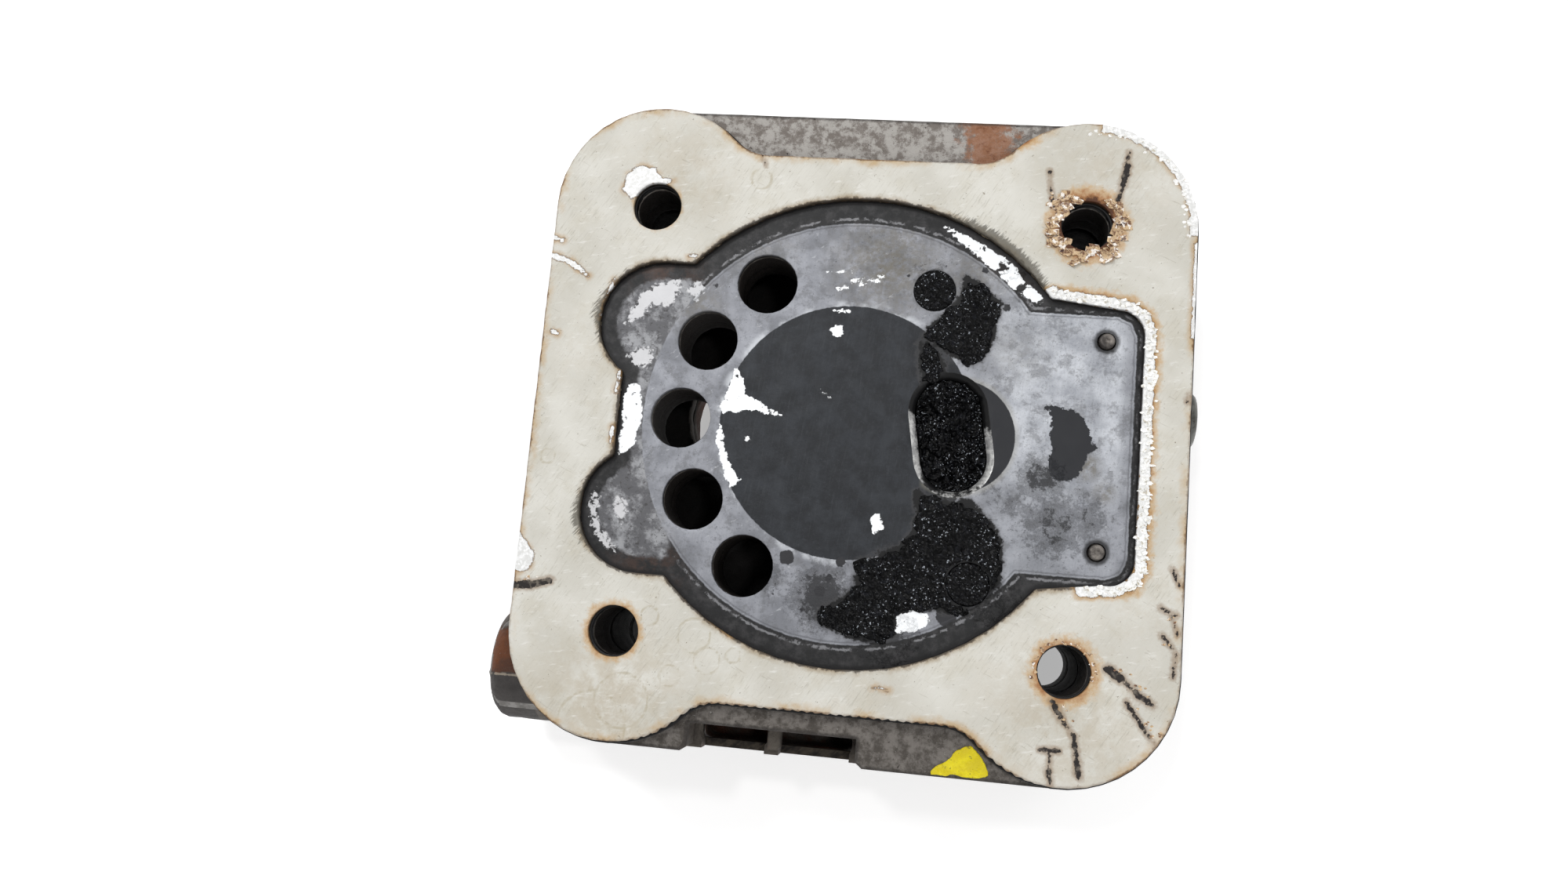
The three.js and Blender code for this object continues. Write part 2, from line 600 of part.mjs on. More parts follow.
const plug = new THREE.Group();
plug.position.set(0, PLUG.y, PLUG.z);
plug.rotation.y = QUARTER;
head.add(plug);
place(plug, 'side_plug', sidePlug(), STEEL);
place(plug, 'side_plug_washer', sidePlugWasher(), COPPER);

export default head;
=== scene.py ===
"""Looks of the compressor cylinder head: worn castings, coated gasket, soot and carbon."""
import math

import bmesh
import bpy
import numpy as np
from mathutils import Euler, Matrix, Vector


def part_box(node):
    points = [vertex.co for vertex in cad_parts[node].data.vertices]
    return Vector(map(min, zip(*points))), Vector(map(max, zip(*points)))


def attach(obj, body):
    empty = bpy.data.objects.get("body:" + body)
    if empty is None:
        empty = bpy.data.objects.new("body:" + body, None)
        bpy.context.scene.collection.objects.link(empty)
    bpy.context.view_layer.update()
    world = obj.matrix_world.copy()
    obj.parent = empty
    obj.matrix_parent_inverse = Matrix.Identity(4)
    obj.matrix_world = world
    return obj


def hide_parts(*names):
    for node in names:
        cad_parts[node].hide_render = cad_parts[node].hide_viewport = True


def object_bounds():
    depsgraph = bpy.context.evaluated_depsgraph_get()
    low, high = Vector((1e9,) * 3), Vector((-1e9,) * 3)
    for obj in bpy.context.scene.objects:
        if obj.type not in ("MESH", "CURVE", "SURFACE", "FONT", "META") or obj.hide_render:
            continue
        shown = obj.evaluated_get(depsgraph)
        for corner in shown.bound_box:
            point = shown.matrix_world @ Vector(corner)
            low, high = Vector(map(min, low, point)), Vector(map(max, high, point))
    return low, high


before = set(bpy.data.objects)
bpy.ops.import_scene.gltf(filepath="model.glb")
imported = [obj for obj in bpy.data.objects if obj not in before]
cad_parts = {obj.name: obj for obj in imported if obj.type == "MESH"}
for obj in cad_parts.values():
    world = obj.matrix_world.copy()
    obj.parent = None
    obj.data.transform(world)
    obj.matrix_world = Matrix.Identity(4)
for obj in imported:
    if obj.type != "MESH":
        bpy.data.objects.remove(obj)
cad_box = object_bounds()

MM = 0.001
BODY = "casting"
TINY = 1e-9
# Mesh making: how far apart two heights still count as one level, points measured at a time,
# the step for slopes, the height of a wall's rows, and how often rims are cleaned and moved
# and castings relaxed.
LEVEL_GAP = 0.02
CHUNK = 20000
SLOPE_STEP = 0.03
WALL_ROW = 1.2
CROSSING_PASSES = 3
RIM_PASSES = 3
RELAX_PASSES = 3

# ---------------------------------------------------------------- outlines of the CAD nodes


def flat_loops(node, height, up=True):
    """Closed outlines, in millimetres, of a node's flat faces at one height."""
    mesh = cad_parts[node].data
    points = np.round(np.array([v.co for v in mesh.vertices]) / MM, 3)
    edges = {}
    for face in mesh.polygons:
        corners = points[list(face.vertices)]
        if np.abs(corners[:, 2] - height).max() > LEVEL_GAP or (face.normal.z > 0) != up:
            continue
        keys = [tuple(c[:2]) for c in corners]
        for a, b in zip(keys, keys[1:] + keys[:1]):
            edges[(a, b)] = True
    follow = {a: b for a, b in edges if (b, a) not in edges}
    loops = []
    while follow:
        start, at = follow.popitem()
        loop = [start]
        while at != start:
            loop.append(at)
            at = follow.pop(at)
        loops.append(np.array(loop))
    return loops


def loop_area(loop):
    x, y = loop[:, 0], loop[:, 1]
    return 0.5 * float(np.sum(x * np.roll(y, -1) - y * np.roll(x, -1)))


def outline(points):
    return np.array(points, float)


def loop_distance(loop, x, y):
    """Signed distance to one outline, negative inside."""
    a, b = loop, np.roll(loop, -1, axis=0)
    dx, dy = b[:, 0] - a[:, 0], b[:, 1] - a[:, 1]
    slope = dx / np.where(dy == 0, TINY, dy)
    px, py = np.ravel(x), np.ravel(y)
    out = np.empty(px.size)
    for at in range(0, px.size, CHUNK):
        qx, qy = px[at:at + CHUNK, None], py[at:at + CHUNK, None]
        t = np.clip(((qx - a[:, 0]) * dx + (qy - a[:, 1]) * dy) / (dx * dx + dy * dy + TINY), 0, 1)
        near = np.hypot(qx - a[:, 0] - t * dx, qy - a[:, 1] - t * dy).min(1)
        over = (a[:, 1] > qy) != (b[:, 1] > qy)
        inside = (over & (qx < a[:, 0] + (qy - a[:, 1]) * slope)).sum(1) % 2 == 1
        out[at:at + CHUNK] = np.where(inside, -near, near)
    return out.reshape(np.shape(x))


def ramp(value, start, end):
    """From 0 to 1 as the value goes from start to end."""
    return np.clip((value - start) / (end - start), 0, 1)


def disc_distance(x, y, cx, cy, r):
    return np.hypot(x - cx, y - cy) - r


def stroke_distance(x, y, start, end, width=0):
    """Signed distance to a straight stroke with round ends."""
    dx, dy = end[0] - start[0], end[1] - start[1]
    t = np.clip(((x - start[0]) * dx + (y - start[1]) * dy) / (dx * dx + dy * dy + TINY), 0, 1)
    return np.hypot(x - start[0] - t * dx, y - start[1] - t * dy) - width / 2


# ---------------------------------------------------------------- repeatable noise

GRAIN_SIZE = 32
GRAIN_SEED = 7
grain_table = np.random.default_rng(GRAIN_SEED).random((GRAIN_SIZE,) * 3)


def grain(x, y, z, size, seed):
    """Smooth noise from -1 to 1 with cells of one size, in millimetres."""
    total = np.zeros(np.shape(x))
    low, part = [], []
    for axis, value in enumerate((x, y, z)):
        cell = value / size + 5.3 * seed + 11.7 * axis
        floor = np.floor(cell)
        low.append(floor.astype(int))
        t = cell - floor
        part.append(t * t * (3 - 2 * t))
    for corner in range(8):
        bits = [(corner >> axis) & 1 for axis in range(3)]
        weight = np.ones(np.shape(x))
        for bit, t in zip(bits, part):
            weight = weight * (t if bit else 1 - t)
        ijk = [(cell + bit) % GRAIN_SIZE for cell, bit in zip(low, bits)]
        total = total + weight * grain_table[ijk[0], ijk[1], ijk[2]]
    return 2 * total - 1


def rough(x, y, z, size, octaves, seed):
    """Noise of several sizes, each half the one before."""
    total, weight = 0, 1
    for step in range(octaves):
        total = total + weight * grain(x, y, z, size, seed + step)
        size, weight = size / 2, weight / 2
    return total


# ---------------------------------------------------------------- meshes


def new_object(name, data):
    made = bpy.data.objects.new(name, data)
    bpy.context.scene.collection.objects.link(made)
    return made


class Shell:
    """Points in millimetres and quads, gathered from several closed parts."""

    def __init__(self):
        self.points, self.faces, self.slots, self.count = [], [], [], 0

    def add(self, points, faces, slot=0):
        self.points.append(np.asarray(points, float))
        self.faces.extend([tuple(int(i) + self.count for i in face) for face in faces])
        self.slots.extend([slot] * len(faces))
        self.count += len(points)

    def build(self, name, materials, fields=None, smooth=True):
        points = np.concatenate(self.points)
        mesh = bpy.data.meshes.new(name)
        mesh.from_pydata((points * MM).tolist(), [], self.faces)
        mesh.polygons.foreach_set("material_index", self.slots)
        mesh.polygons.foreach_set("use_smooth", [smooth] * len(self.faces))
        for material in materials:
            mesh.materials.append(material)
        for key, values in (fields or {}).items():
            layer = mesh.attributes.new(key, "FLOAT", "POINT")
            layer.data.foreach_set("value", np.asarray(values, np.float32))
        mesh.validate()
        mesh.update()
        return new_object(name, mesh)

    def all_points(self):
        return np.concatenate(self.points)


def nearest_rim(rims, x, y):
    """Distance to the eased region, and which rim is the nearest one."""
    parts = [loop_distance(loop, x, y) * (1 if first else -1) + ease for loop, ease, first in rims]
    stack = np.array(parts)
    return stack.max(0), stack.argmax(0)


def slab(shell, outer, holes, top, bottom, pitch, ease, ragged=None, lift=None):
    """A closed plate of even quads whose rims follow the outlines, with rounded top edges.

    ease is the rounding at the outer rim and at the holes. ragged(x, y) moves the rims and
    lift(x, y) raises the top.
    """
    rims = [(outer, ease[0], True)] + [(hole, ease[1], False) for hole in holes]

    def region(x, y):
        far, which = nearest_rim(rims, x, y)
        return far + (ragged(x, y) if ragged else 0), which

    low, high = outer.min(0) - 2 * pitch, outer.max(0) + 2 * pitch
    xs, ys = np.arange(low[0], high[0], pitch), np.arange(low[1], high[1], pitch)
    gx, gy = np.meshgrid(xs, ys, indexing="ij")
    far = region(gx, gy)[0]
    keep = (far[:-1, :-1] + far[1:, :-1] + far[1:, 1:] + far[:-1, 1:]) < 0
    for _ in range(CROSSING_PASSES):
        a, b, c, d = keep[:-1, :-1], keep[1:, :-1], keep[:-1, 1:], keep[1:, 1:]
        crossed = (a & d & ~b & ~c) | (b & c & ~a & ~d)
        keep[:-1, :-1] &= ~crossed
        keep[1:, :-1] &= ~crossed
    ids = np.arange(gx.size).reshape(gx.shape)
    i, j = np.nonzero(keep)
    quads = np.stack([ids[i, j], ids[i + 1, j], ids[i + 1, j + 1], ids[i, j + 1]], 1)
    wide = np.pad(keep, 1)
    sides = [(0, 1, wide[i + 1, j]), (1, 2, wide[i + 2, j + 1]), (2, 3, wide[i + 1, j + 2]),
             (3, 0, wide[i, j + 1])]
    rim_edges = np.concatenate([quads[~open_side][:, [a, b]] for a, b, open_side in sides])
    used = np.unique(quads)
    index = np.full(gx.size, -1)
    index[used] = np.arange(used.size)
    quads, rim_edges = index[quads], index[rim_edges]
    x, y = gx.ravel()[used].copy(), gy.ravel()[used].copy()
    rim = np.unique(rim_edges)

    def slope(px, py):
        along_x = region(px + SLOPE_STEP, py)[0] - region(px - SLOPE_STEP, py)[0]
        along_y = region(px, py + SLOPE_STEP)[0] - region(px, py - SLOPE_STEP)[0]
        size = np.hypot(along_x, along_y) + TINY
        return along_x / size, along_y / size

    for _ in range(RIM_PASSES):
        far, which = region(x[rim], y[rim])
        nx, ny = slope(x[rim], y[rim])
        x[rim] -= far * nx
        y[rim] -= far * ny
    nx, ny = slope(x[rim], y[rim])
    eased = np.array([one[1] for one in rims])[which]
    heights = np.full(x.size, float(top)) if lift is None else top + lift(x, y)
    rows = [(math.sin(t), 1 - math.cos(t)) for t in (math.pi / 6, math.pi / 3, math.pi / 2)]
    points = [np.stack([x, y, heights], 1)]
    rim_top = heights[rim]
    for out, drop in rows:
        points.append(np.stack([x[rim] + nx * eased * out, y[rim] + ny * eased * out,
                                rim_top - eased * drop], 1))
    start = rim_top - eased
    count = max(1, int(round((top - bottom) / WALL_ROW)))
    for row in range(1, count + 1):
        z = start + (bottom - start) * row / count
        points.append(np.stack([points[3][:, 0], points[3][:, 1], z], 1))
    levels = len(points) - 1
    rim_at = np.full(x.size, -1)
    rim_at[rim] = np.arange(rim.size)
    a, b = rim_at[rim_edges[:, 0]], rim_at[rim_edges[:, 1]]
    faces = quads.tolist()
    above_a, above_b = rim_edges[:, 0], rim_edges[:, 1]
    for level in range(levels):
        base = x.size + level * rim.size
        faces += np.stack([above_b, above_a, base + a, base + b], 1).tolist()
        above_a, above_b = base + a, base + b
    inner = np.setdiff1d(np.arange(x.size), rim)
    floor_base = x.size + levels * rim.size
    floor_ids = np.empty(x.size, int)
    floor_ids[inner] = floor_base + np.arange(inner.size)
    floor_ids[rim] = x.size + (levels - 1) * rim.size + np.arange(rim.size)
    points.append(np.stack([x[inner], y[inner], np.full(inner.size, float(bottom))], 1))
    faces += floor_ids[quads][:, ::-1].tolist()
    shell.add(np.concatenate(points), faces)


def turned(shell, centre, axis, rows, steps=56, loop=False):
    """A turned piece. Rows are (radius, distance along the axis), and "hex" for a hexagon."""
    along = Vector(axis).normalized()
    side = along.orthogonal().normalized()
    if abs(along.z) > 0.9:
        side = Vector((1, 0, 0))
    other = along.cross(side)
    points, rings, faces = [], [], []
    for radius, distance, *kind in rows:
        ring = []
        for k in range(steps if radius > 0 else 1):
            turn = 2 * math.pi * k / steps
            reach = radius
            if kind:
                reach = radius / math.cos((turn + math.pi / 6) % (math.pi / 3) - math.pi / 6)
            place = Vector(centre) + along * distance
            place += (side * math.cos(turn) + other * math.sin(turn)) * reach
            ring.append(len(points))
            points.append(tuple(place))
        rings.append(ring)
    for low, high in zip(rings, rings[1:] + (rings[:1] if loop else [])):
        for k in range(steps):
            n = (k + 1) % steps
            if len(low) == 1:
                faces.append((low[0], high[n], high[k]))
            elif len(high) == 1:
                faces.append((low[k], low[n], high[0]))
            else:
                faces.append((low[k], low[n], high[n], high[k]))
    shell.add(points, faces)


def worn(shell, amount, size, seed):
    """Moves the last points added by a little noise."""
    x, y, z = shell.points[-1].T
    for axis in range(3):
        shell.points[-1][:, axis] += amount * rough(x, y, z, size, 3, seed + axis)


def cast_copy(node, voxel):
    """A node's solid as an even mesh with softened edges: points in millimetres, and faces."""
    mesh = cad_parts[node].data.copy()
    work = bmesh.new()
    work.from_mesh(mesh)
    bmesh.ops.remove_doubles(work, verts=work.verts, dist=1e-6)
    work.to_mesh(mesh)
    work.free()
    draft = new_object("draft", mesh)
    even = draft.modifiers.new("even", "REMESH")
    even.mode = "VOXEL"
    even.voxel_size = voxel * MM
    solid = draft.evaluated_get(bpy.context.evaluated_depsgraph_get()).to_mesh()
    points = np.empty(len(solid.vertices) * 3)
    solid.vertices.foreach_get("co", points)
    points = points.reshape(-1, 3) / MM
    faces = [tuple(face.vertices) for face in solid.polygons]
    edges = np.empty(len(solid.edges) * 2, int)
    solid.edges.foreach_get("vertices", edges)
    edges = edges.reshape(-1, 2)
    bpy.data.objects.remove(draft)
    bpy.data.meshes.remove(mesh)
    for _ in range(RELAX_PASSES):
        points += 0.5 * (neighbour_mean(points, edges) - points)
    return points, faces


def neighbour_mean(points, edges):
    total = np.zeros_like(points)
    count = np.zeros(len(points))
    for a, b in (edges.T, edges.T[::-1]):
        np.add.at(total, a, points[b])
        np.add.at(count, a, 1)
    return total / np.maximum(count, 1)[:, None]


def surface_normals(points, faces):
    quads = np.array([face if len(face) == 4 else (*face, face[-1]) for face in faces])
    a, b, c, d = (points[quads[:, k]] for k in range(4))
    flat = np.cross(c - a, d - b)
    total = np.zeros_like(points)
    for k in range(4):
        np.add.at(total, quads[:, k], flat)
    return total / (np.linalg.norm(total, axis=1) + TINY)[:, None]


FLAKE_THIN, FLAKE_EXTRA = 0.12, 0.1
FLAKE_NARROW = 0.7


def flake_heap(shell, places, size, seed, height, tilt=0.6):
    """Small torn flakes, each a thin tilted plate with four to six corners."""
    chance = np.random.default_rng(seed)
    for x, y in places:
        corners = int(chance.integers(4, 7))
        reach = size * chance.uniform(0.45, 1.0)
        turn = chance.uniform(0, 2 * math.pi)
        lean = np.array([chance.uniform(-tilt, tilt), chance.uniform(-tilt, tilt)])
        top, bottom = [], []
        thick = FLAKE_THIN + FLAKE_EXTRA * chance.random()
        for k in range(corners):
            angle = turn + 2 * math.pi * k / corners
            r = reach * chance.uniform(0.6, 1.0)
            dx, dy = r * math.cos(angle), r * math.sin(angle) * FLAKE_NARROW
            z = height + lean[0] * dx + lean[1] * dy
            top.append((x + dx, y + dy, z))
            bottom.append((x + dx, y + dy, z - thick))
        faces = [tuple(range(corners)), tuple(range(2 * corners - 1, corners - 1, -1))]
        for k in range(corners):
            n = (k + 1) % corners
            faces.append((k, corners + k, corners + n, n))
        shell.add(top + bottom, faces)


def arc_path(cx, cy, r, degrees):
    return [(cx + r * math.cos(math.radians(t)), cy + r * math.sin(math.radians(t))) for t in degrees]


def along_path(path, spacing, spread, seed):
    """Places scattered along a path of straight stretches."""
    chance = np.random.default_rng(seed)
    places = []
    for (x0, y0), (x1, y1) in zip(path, path[1:]):
        length = math.hypot(x1 - x0, y1 - y0)
        for _ in range(max(1, int(length / spacing))):
            t = chance.random()
            off = chance.normal(0, spread)
            places.append((x0 + (x1 - x0) * t - (y1 - y0) / length * off,
                           y0 + (y1 - y0) * t + (x1 - x0) / length * off))
    return places


def finish_piece(piece, slot, *nodes):
    """Rides the piece on the casting and hides the CAD nodes that it stands for. The slot, its finish, is
    not used.
    """
    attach(piece, BODY)
    if nodes:
        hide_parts(*nodes)
    return piece


# ---------------------------------------------------------------- procedural materials


def linear(r, g, b):
    """A colour given as 0 to 255 in sRGB, as the linear values that the shader needs."""
    parts = [v / 255 for v in (r, g, b)]
    return (*(v / 12.92 if v <= 0.04045 else ((v + 0.055) / 1.055) ** 2.4 for v in parts), 1.0)


class Paint:
    """Builds one material from noise and mesh fields. Places are in millimetres."""

    def __init__(self, name):
        self.material = bpy.data.materials.new(name)
        self.material.use_nodes = True
        self.tree = self.material.node_tree
        self.tree.nodes.clear()
        self.output = self.tree.nodes.new("ShaderNodeOutputMaterial")
        self.shader = self.tree.nodes.new("ShaderNodeBsdfPrincipled")
        self.tree.links.new(self.shader.outputs[0], self.output.inputs[0])
        texture = self.tree.nodes.new("ShaderNodeTexCoord")
        scaled = self.tree.nodes.new("ShaderNodeVectorMath")
        scaled.operation = "SCALE"
        scaled.inputs["Scale"].default_value = 1 / MM
        self.tree.links.new(texture.outputs["Object"], scaled.inputs[0])
        self.place = scaled.outputs[0]

    def put(self, socket, value):
        if isinstance(value, bpy.types.NodeSocket):
            self.tree.links.new(value, socket)
        else:
            socket.default_value = value

    def math(self, operation, *values, clamp=False):
        node = self.tree.nodes.new("ShaderNodeMath")
        node.operation = operation
        node.use_clamp = clamp
        for socket, value in zip(node.inputs, values):
            self.put(socket, value)
        return node.outputs[0]

    def add(self, a, b):
        return self.math("ADD", a, b)

    def times(self, a, b):
        return self.math("MULTIPLY", a, b)

    def flip(self, a):
        return self.math("SUBTRACT", 1.0, a, clamp=True)

    def field(self, name):
        node = self.tree.nodes.new("ShaderNodeAttribute")
        node.attribute_name = name
        return node.outputs["Fac"]

    def stretched(self, along, across, turn=0.0, depth=1.0):
        """The place, drawn out by these factors along a direction and across it."""
        node = self.tree.nodes.new("ShaderNodeMapping")
        node.vector_type = "TEXTURE"
        node.inputs["Scale"].default_value = (along, across, depth)
        node.inputs["Rotation"].default_value = (0, 0, math.radians(turn))
        self.tree.links.new(self.place, node.inputs["Vector"])
        return node.outputs[0]

    def noise(self, size, detail=3.0, roughness=0.55, place=None):
        """Noise about 0.5, with features of one size in millimetres."""
        node = self.tree.nodes.new("ShaderNodeTexNoise")
        node.inputs["Scale"].default_value = 1 / size
        node.inputs["Detail"].default_value = detail
        node.inputs["Roughness"].default_value = roughness
        self.tree.links.new(place or self.place, node.inputs["Vector"])
        return node.outputs["Fac"]

    def cells(self, size):
        """Distance to the middle of the nearest cell, in cells of one size."""
        node = self.tree.nodes.new("ShaderNodeTexVoronoi")
        node.inputs["Scale"].default_value = 1 / size
        self.tree.links.new(self.place, node.inputs["Vector"])
        return node.outputs["Distance"]

    def step(self, value, start, end, low=0.0, high=1.0):
        """Rises smoothly from low to high while value goes from start to end."""
        node = self.tree.nodes.new("ShaderNodeMapRange")
        node.interpolation_type = "SMOOTHSTEP"
        for socket, given in zip(node.inputs, (value, start, end, low, high)):
            self.put(socket, given)
        return node.outputs[0]

    def cloud(self, start, end, size, detail=3.0, roughness=0.55, place=None):
        """Patches from 0 to 1: where the noise is past start they begin, and at end they are full."""
        return self.step(self.noise(size, detail, roughness, place), start, end)

    def warped(self, value, size, amount, detail=4.0, roughness=0.65):
        """A value or a named mesh field, moved by noise so that its edges are ragged."""
        if isinstance(value, str):
            value = self.field(value)
        shift = self.times(self.add(self.noise(size, detail, roughness), -0.5), 2 * amount)
        return self.add(value, shift)

    def mix(self, share, a, b):
        """Blends from a to b. Each is a socket, or a colour as 0 to 255 in sRGB."""
        node = self.tree.nodes.new("ShaderNodeMix")
        node.data_type = "RGBA"
        self.put(node.inputs["Factor"], share)
        for socket, colour in ((node.inputs[6], a), (node.inputs[7], b)):
            self.put(socket, linear(*colour) if isinstance(colour, tuple) else colour)
        return node.outputs[2]

    def lay(self, base, share, strength, colour):
        """Lays a colour over the base where share is high, at this strength at most."""
        return self.mix(self.times(share, strength), base, colour)

    def bump(self, height, depth):
        """Bump whose full height is depth, in millimetres."""
        node = self.tree.nodes.new("ShaderNodeBump")
        node.inputs["Distance"].default_value = depth * MM
        node.inputs["Strength"].default_value = 1.0
        self.put(node.inputs["Height"], height)
        return node.outputs[0]

    def done(self, colour, roughness, metallic, normal, specular):
        self.put(self.shader.inputs["Base Color"], colour)
        self.put(self.shader.inputs["Roughness"], roughness)
        self.put(self.shader.inputs["Metallic"], metallic)
        self.shader.inputs["Specular IOR Level"].default_value = specular
        self.put(self.shader.inputs["Normal"], normal)
        return self.material


# ---------------------------------------------------------------- places on the head, in millimetres

GASKET_TOP = 1.6
LEDGE_Z = -1.4
PLATE_BOTTOM = -14.0
BOLTS = [(43, 43), (-43, 43), (-43, -43), (43, -43)]
BOLT_R = 4.7


def middle(node):
    low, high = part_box(node)
    return (low + high) / 2 / MM


def largest_first(loops):
    return sorted(loops, key=lambda loop: -abs(loop_area(loop)))


CIRCLE_STEPS = 40


def circle(cx, cy, r):
    turn = np.arange(CIRCLE_STEPS) * 2 * math.pi / CIRCLE_STEPS
    return np.column_stack([cx + r * np.cos(turn), cy + r * np.sin(turn)])


gasket_loops = largest_first(flat_loops("block_gasket", GASKET_TOP))
gasket_outer, pocket_loop = gasket_loops[0], gasket_loops[1]
GASKET_HOLE_R = BOLT_R + 0.3
gasket_bolts = [circle(x, y, GASKET_HOLE_R) for x, y in BOLTS]
pad_loops = largest_first(flat_loops("valve_plate", 0.0))
plate_low = largest_first(flat_loops("valve_plate", PLATE_BOTTOM, up=False))
ledge_outer = largest_first(flat_loops("valve_plate", LEDGE_Z))[0]
SCREW_ENDS = {name: middle(name) for name in ("stop_screw_upper", "stop_screw_lower")}

# Round prints on the plate: centre, radius, and where the small one's left side ends.
REED_DISC_PRINT = (-1, -0.5, 25.2)
SMALL_DISC_PRINT = (20.5, 0, 11.2)
SMALL_DISC_LEFT = 15
# The missing suction reed: its pins, the round part of its print, and the tab beside that.
REED_DISC_R = 41.8
REED_PINS = [(48, 20.4), (48, -20.4)]
REED_PIN_HALO = 1.8
REED_TAB = outline([(20, -25.4), (50, -25.4), (52.6, -24.2), (53.7, -21.5), (53.7, 21.5),
                    (52.6, 24.2), (50, 25.4), (20, 25.4)])
# Two dark specks in the bright arc: centre, radius.
ARC_SPECKS = [(27.6, 34.2, 1.1), (31.2, 30, 0.8)]

# Coating gone down to bare metal on the gasket; its near-white colour is a painted reflection of the lamp.
PEELED = [outline(shape) for shape in (
    [(-50.6, 46.2), (-49.8, 49.6), (-47.2, 51.4), (-44.2, 51), (-42.6, 49), (-40, 48.6),
     (-41.8, 47.6), (-44.6, 47.7), (-46.6, 46.4), (-48.4, 44.2)],
    [(-64.4, -25.2), (-62.2, -27), (-60.4, -29.6), (-61, -32), (-62.8, -33.4),
     (-64.6, -32.4)],
    [(-64.4, 31.2), (-60, 29.8), (-55.8, 27.2), (-55.4, 27.8), (-59.6, 30.8),
     (-64.4, 32.2)],
)]
# Narrow peeled places: start, end, width.
PEELED_STROKES = [
    ((-64.6, 35.4), (-62, 34.8), 0.8), ((-62, 15.6), (-60.9, 15.3), 0.8),
    ((-24, -38.4), (-20, -41.6), 0.4), ((8, -49), (11, -49.4), 0.3), ((63.8, 22), (63.8, 40), 0.8),
    ((-52, 19.5), (-50.4, 27), 0.5), ((-47.4, 4), (-47.2, 8), 0.6), ((-47.6, -6), (-47.4, -3), 0.5),
    ((-33.6, 33), (-35.4, 32.8), 0.5), ((53, 63.4), (47, 64.2), 0.7), ((61.2, 53), (62.8, 50), 1.2),
]
# Crumbling strip of bare metal round the pocket's square end, painted near white like the other peeled
# places.
CRUMBLED = [(37, 28.9), (43, 28.6), (48, 28.2), (52, 27.6), (54.6, 25.8), (55.9, 23), (56.2, 16),
            (56, 6), (56.2, -4), (56.4, -12), (56.2, -19), (56.3, -23.4), (54.4, -26.6), (50, -27.6),
            (45.6, -27.6)]
# The peeled strip round the upper right corner: where it starts, and its width.
STRIP_START = (45, 42)
STRIP_WIDTH = 1.5
# Burnt-in black marks on the gasket: start, end, width.
MARKS = [
    ((-64.4, -35.9), (-60, -35.3), 1.4), ((-60, -35.3), (-56.6, -34.4), 1.1),
    ((35.2, 54), (35.6, 50), 0.3), ((35.6, 50), (36.4, 46.6), 0.5),
    ((50.2, 58.2), (50, 55.4), 0.6), ((50, 55.4), (49.4, 51.4), 1.3), ((49.4, 51.4), (48.4, 47.6), 0.9),
    ((41.2, -48.6), (42.8, -51.4), 1.1), ((42.8, -51.4), (45.4, -54.4), 0.6),
    ((45.4, -54.4), (46.6, -61.6), 0.8), ((39.3, -57.4), (42.8, -57.3), 0.6),
    ((41.2, -57.6), (41.2, -61), 0.35), ((41.2, -61), (41.6, -63.4), 0.9),
    ((51, -41.8), (53.4, -43.4), 1.5), ((53.4, -43.4), (56.4, -45.6), 0.6),
    ((56.2, -45.8), (59, -47.6), 1.0), ((54.4, -47.4), (58.6, -53), 0.6),
    ((58.6, -53), (60.4, -55), 0.35), ((61.8, -22.6), (63, -25.4), 0.5),
    ((60, -29.8), (62.4, -31), 0.7), ((61.6, -31), (63.2, -34.6), 0.3),
    ((60.4, -34.8), (62.6, -37.4), 0.5), ((62.8, -37.6), (62.6, -42.4), 0.35),
    ((-36, -18), (-35.4, -19), 0.4), ((63.4, 10.4), (63.2, 9.2), 0.5), ((-22.4, 55), (-21.4, 52.6), 0.3),
]
# Faint round stains: centre, radius.
RINGS = [(-60, -9.8, 1.5), (-36, -39.5, 1.8), (-24, -47, 2.5), (-22, 49.7, 2.1), (-45.5, -61.5, 6.8),
         (-40, -56, 5.2), (-31, -50.5, 2.0), (-27, -42.5, 3.2), (-19, -45.6, 1.4)]
# Rust round each bolt hole: strength and reach.
RUSTY_BOLTS = [(1.0, 4.6), (0.42, 1.6), (0.6, 2.6), (0.72, 3.4)]
# Rust stain on the gasket's top edge: centre, size.
EDGE_STAIN = (29.5, 60.2, 4.5)
# Grubby places on the gasket: centre, size, strength.
GRUBBY = [(-42, -56, 18, 1.0), (44, -52, 18, 0.9), (-54, 12, 9, 0.4), (-38, 50, 14, 0.7),
          (52, 12, 8, 0.3), (0, -52, 16, 0.4), (56, -30, 10, 0.5), (48, 54, 16, 0.6)]
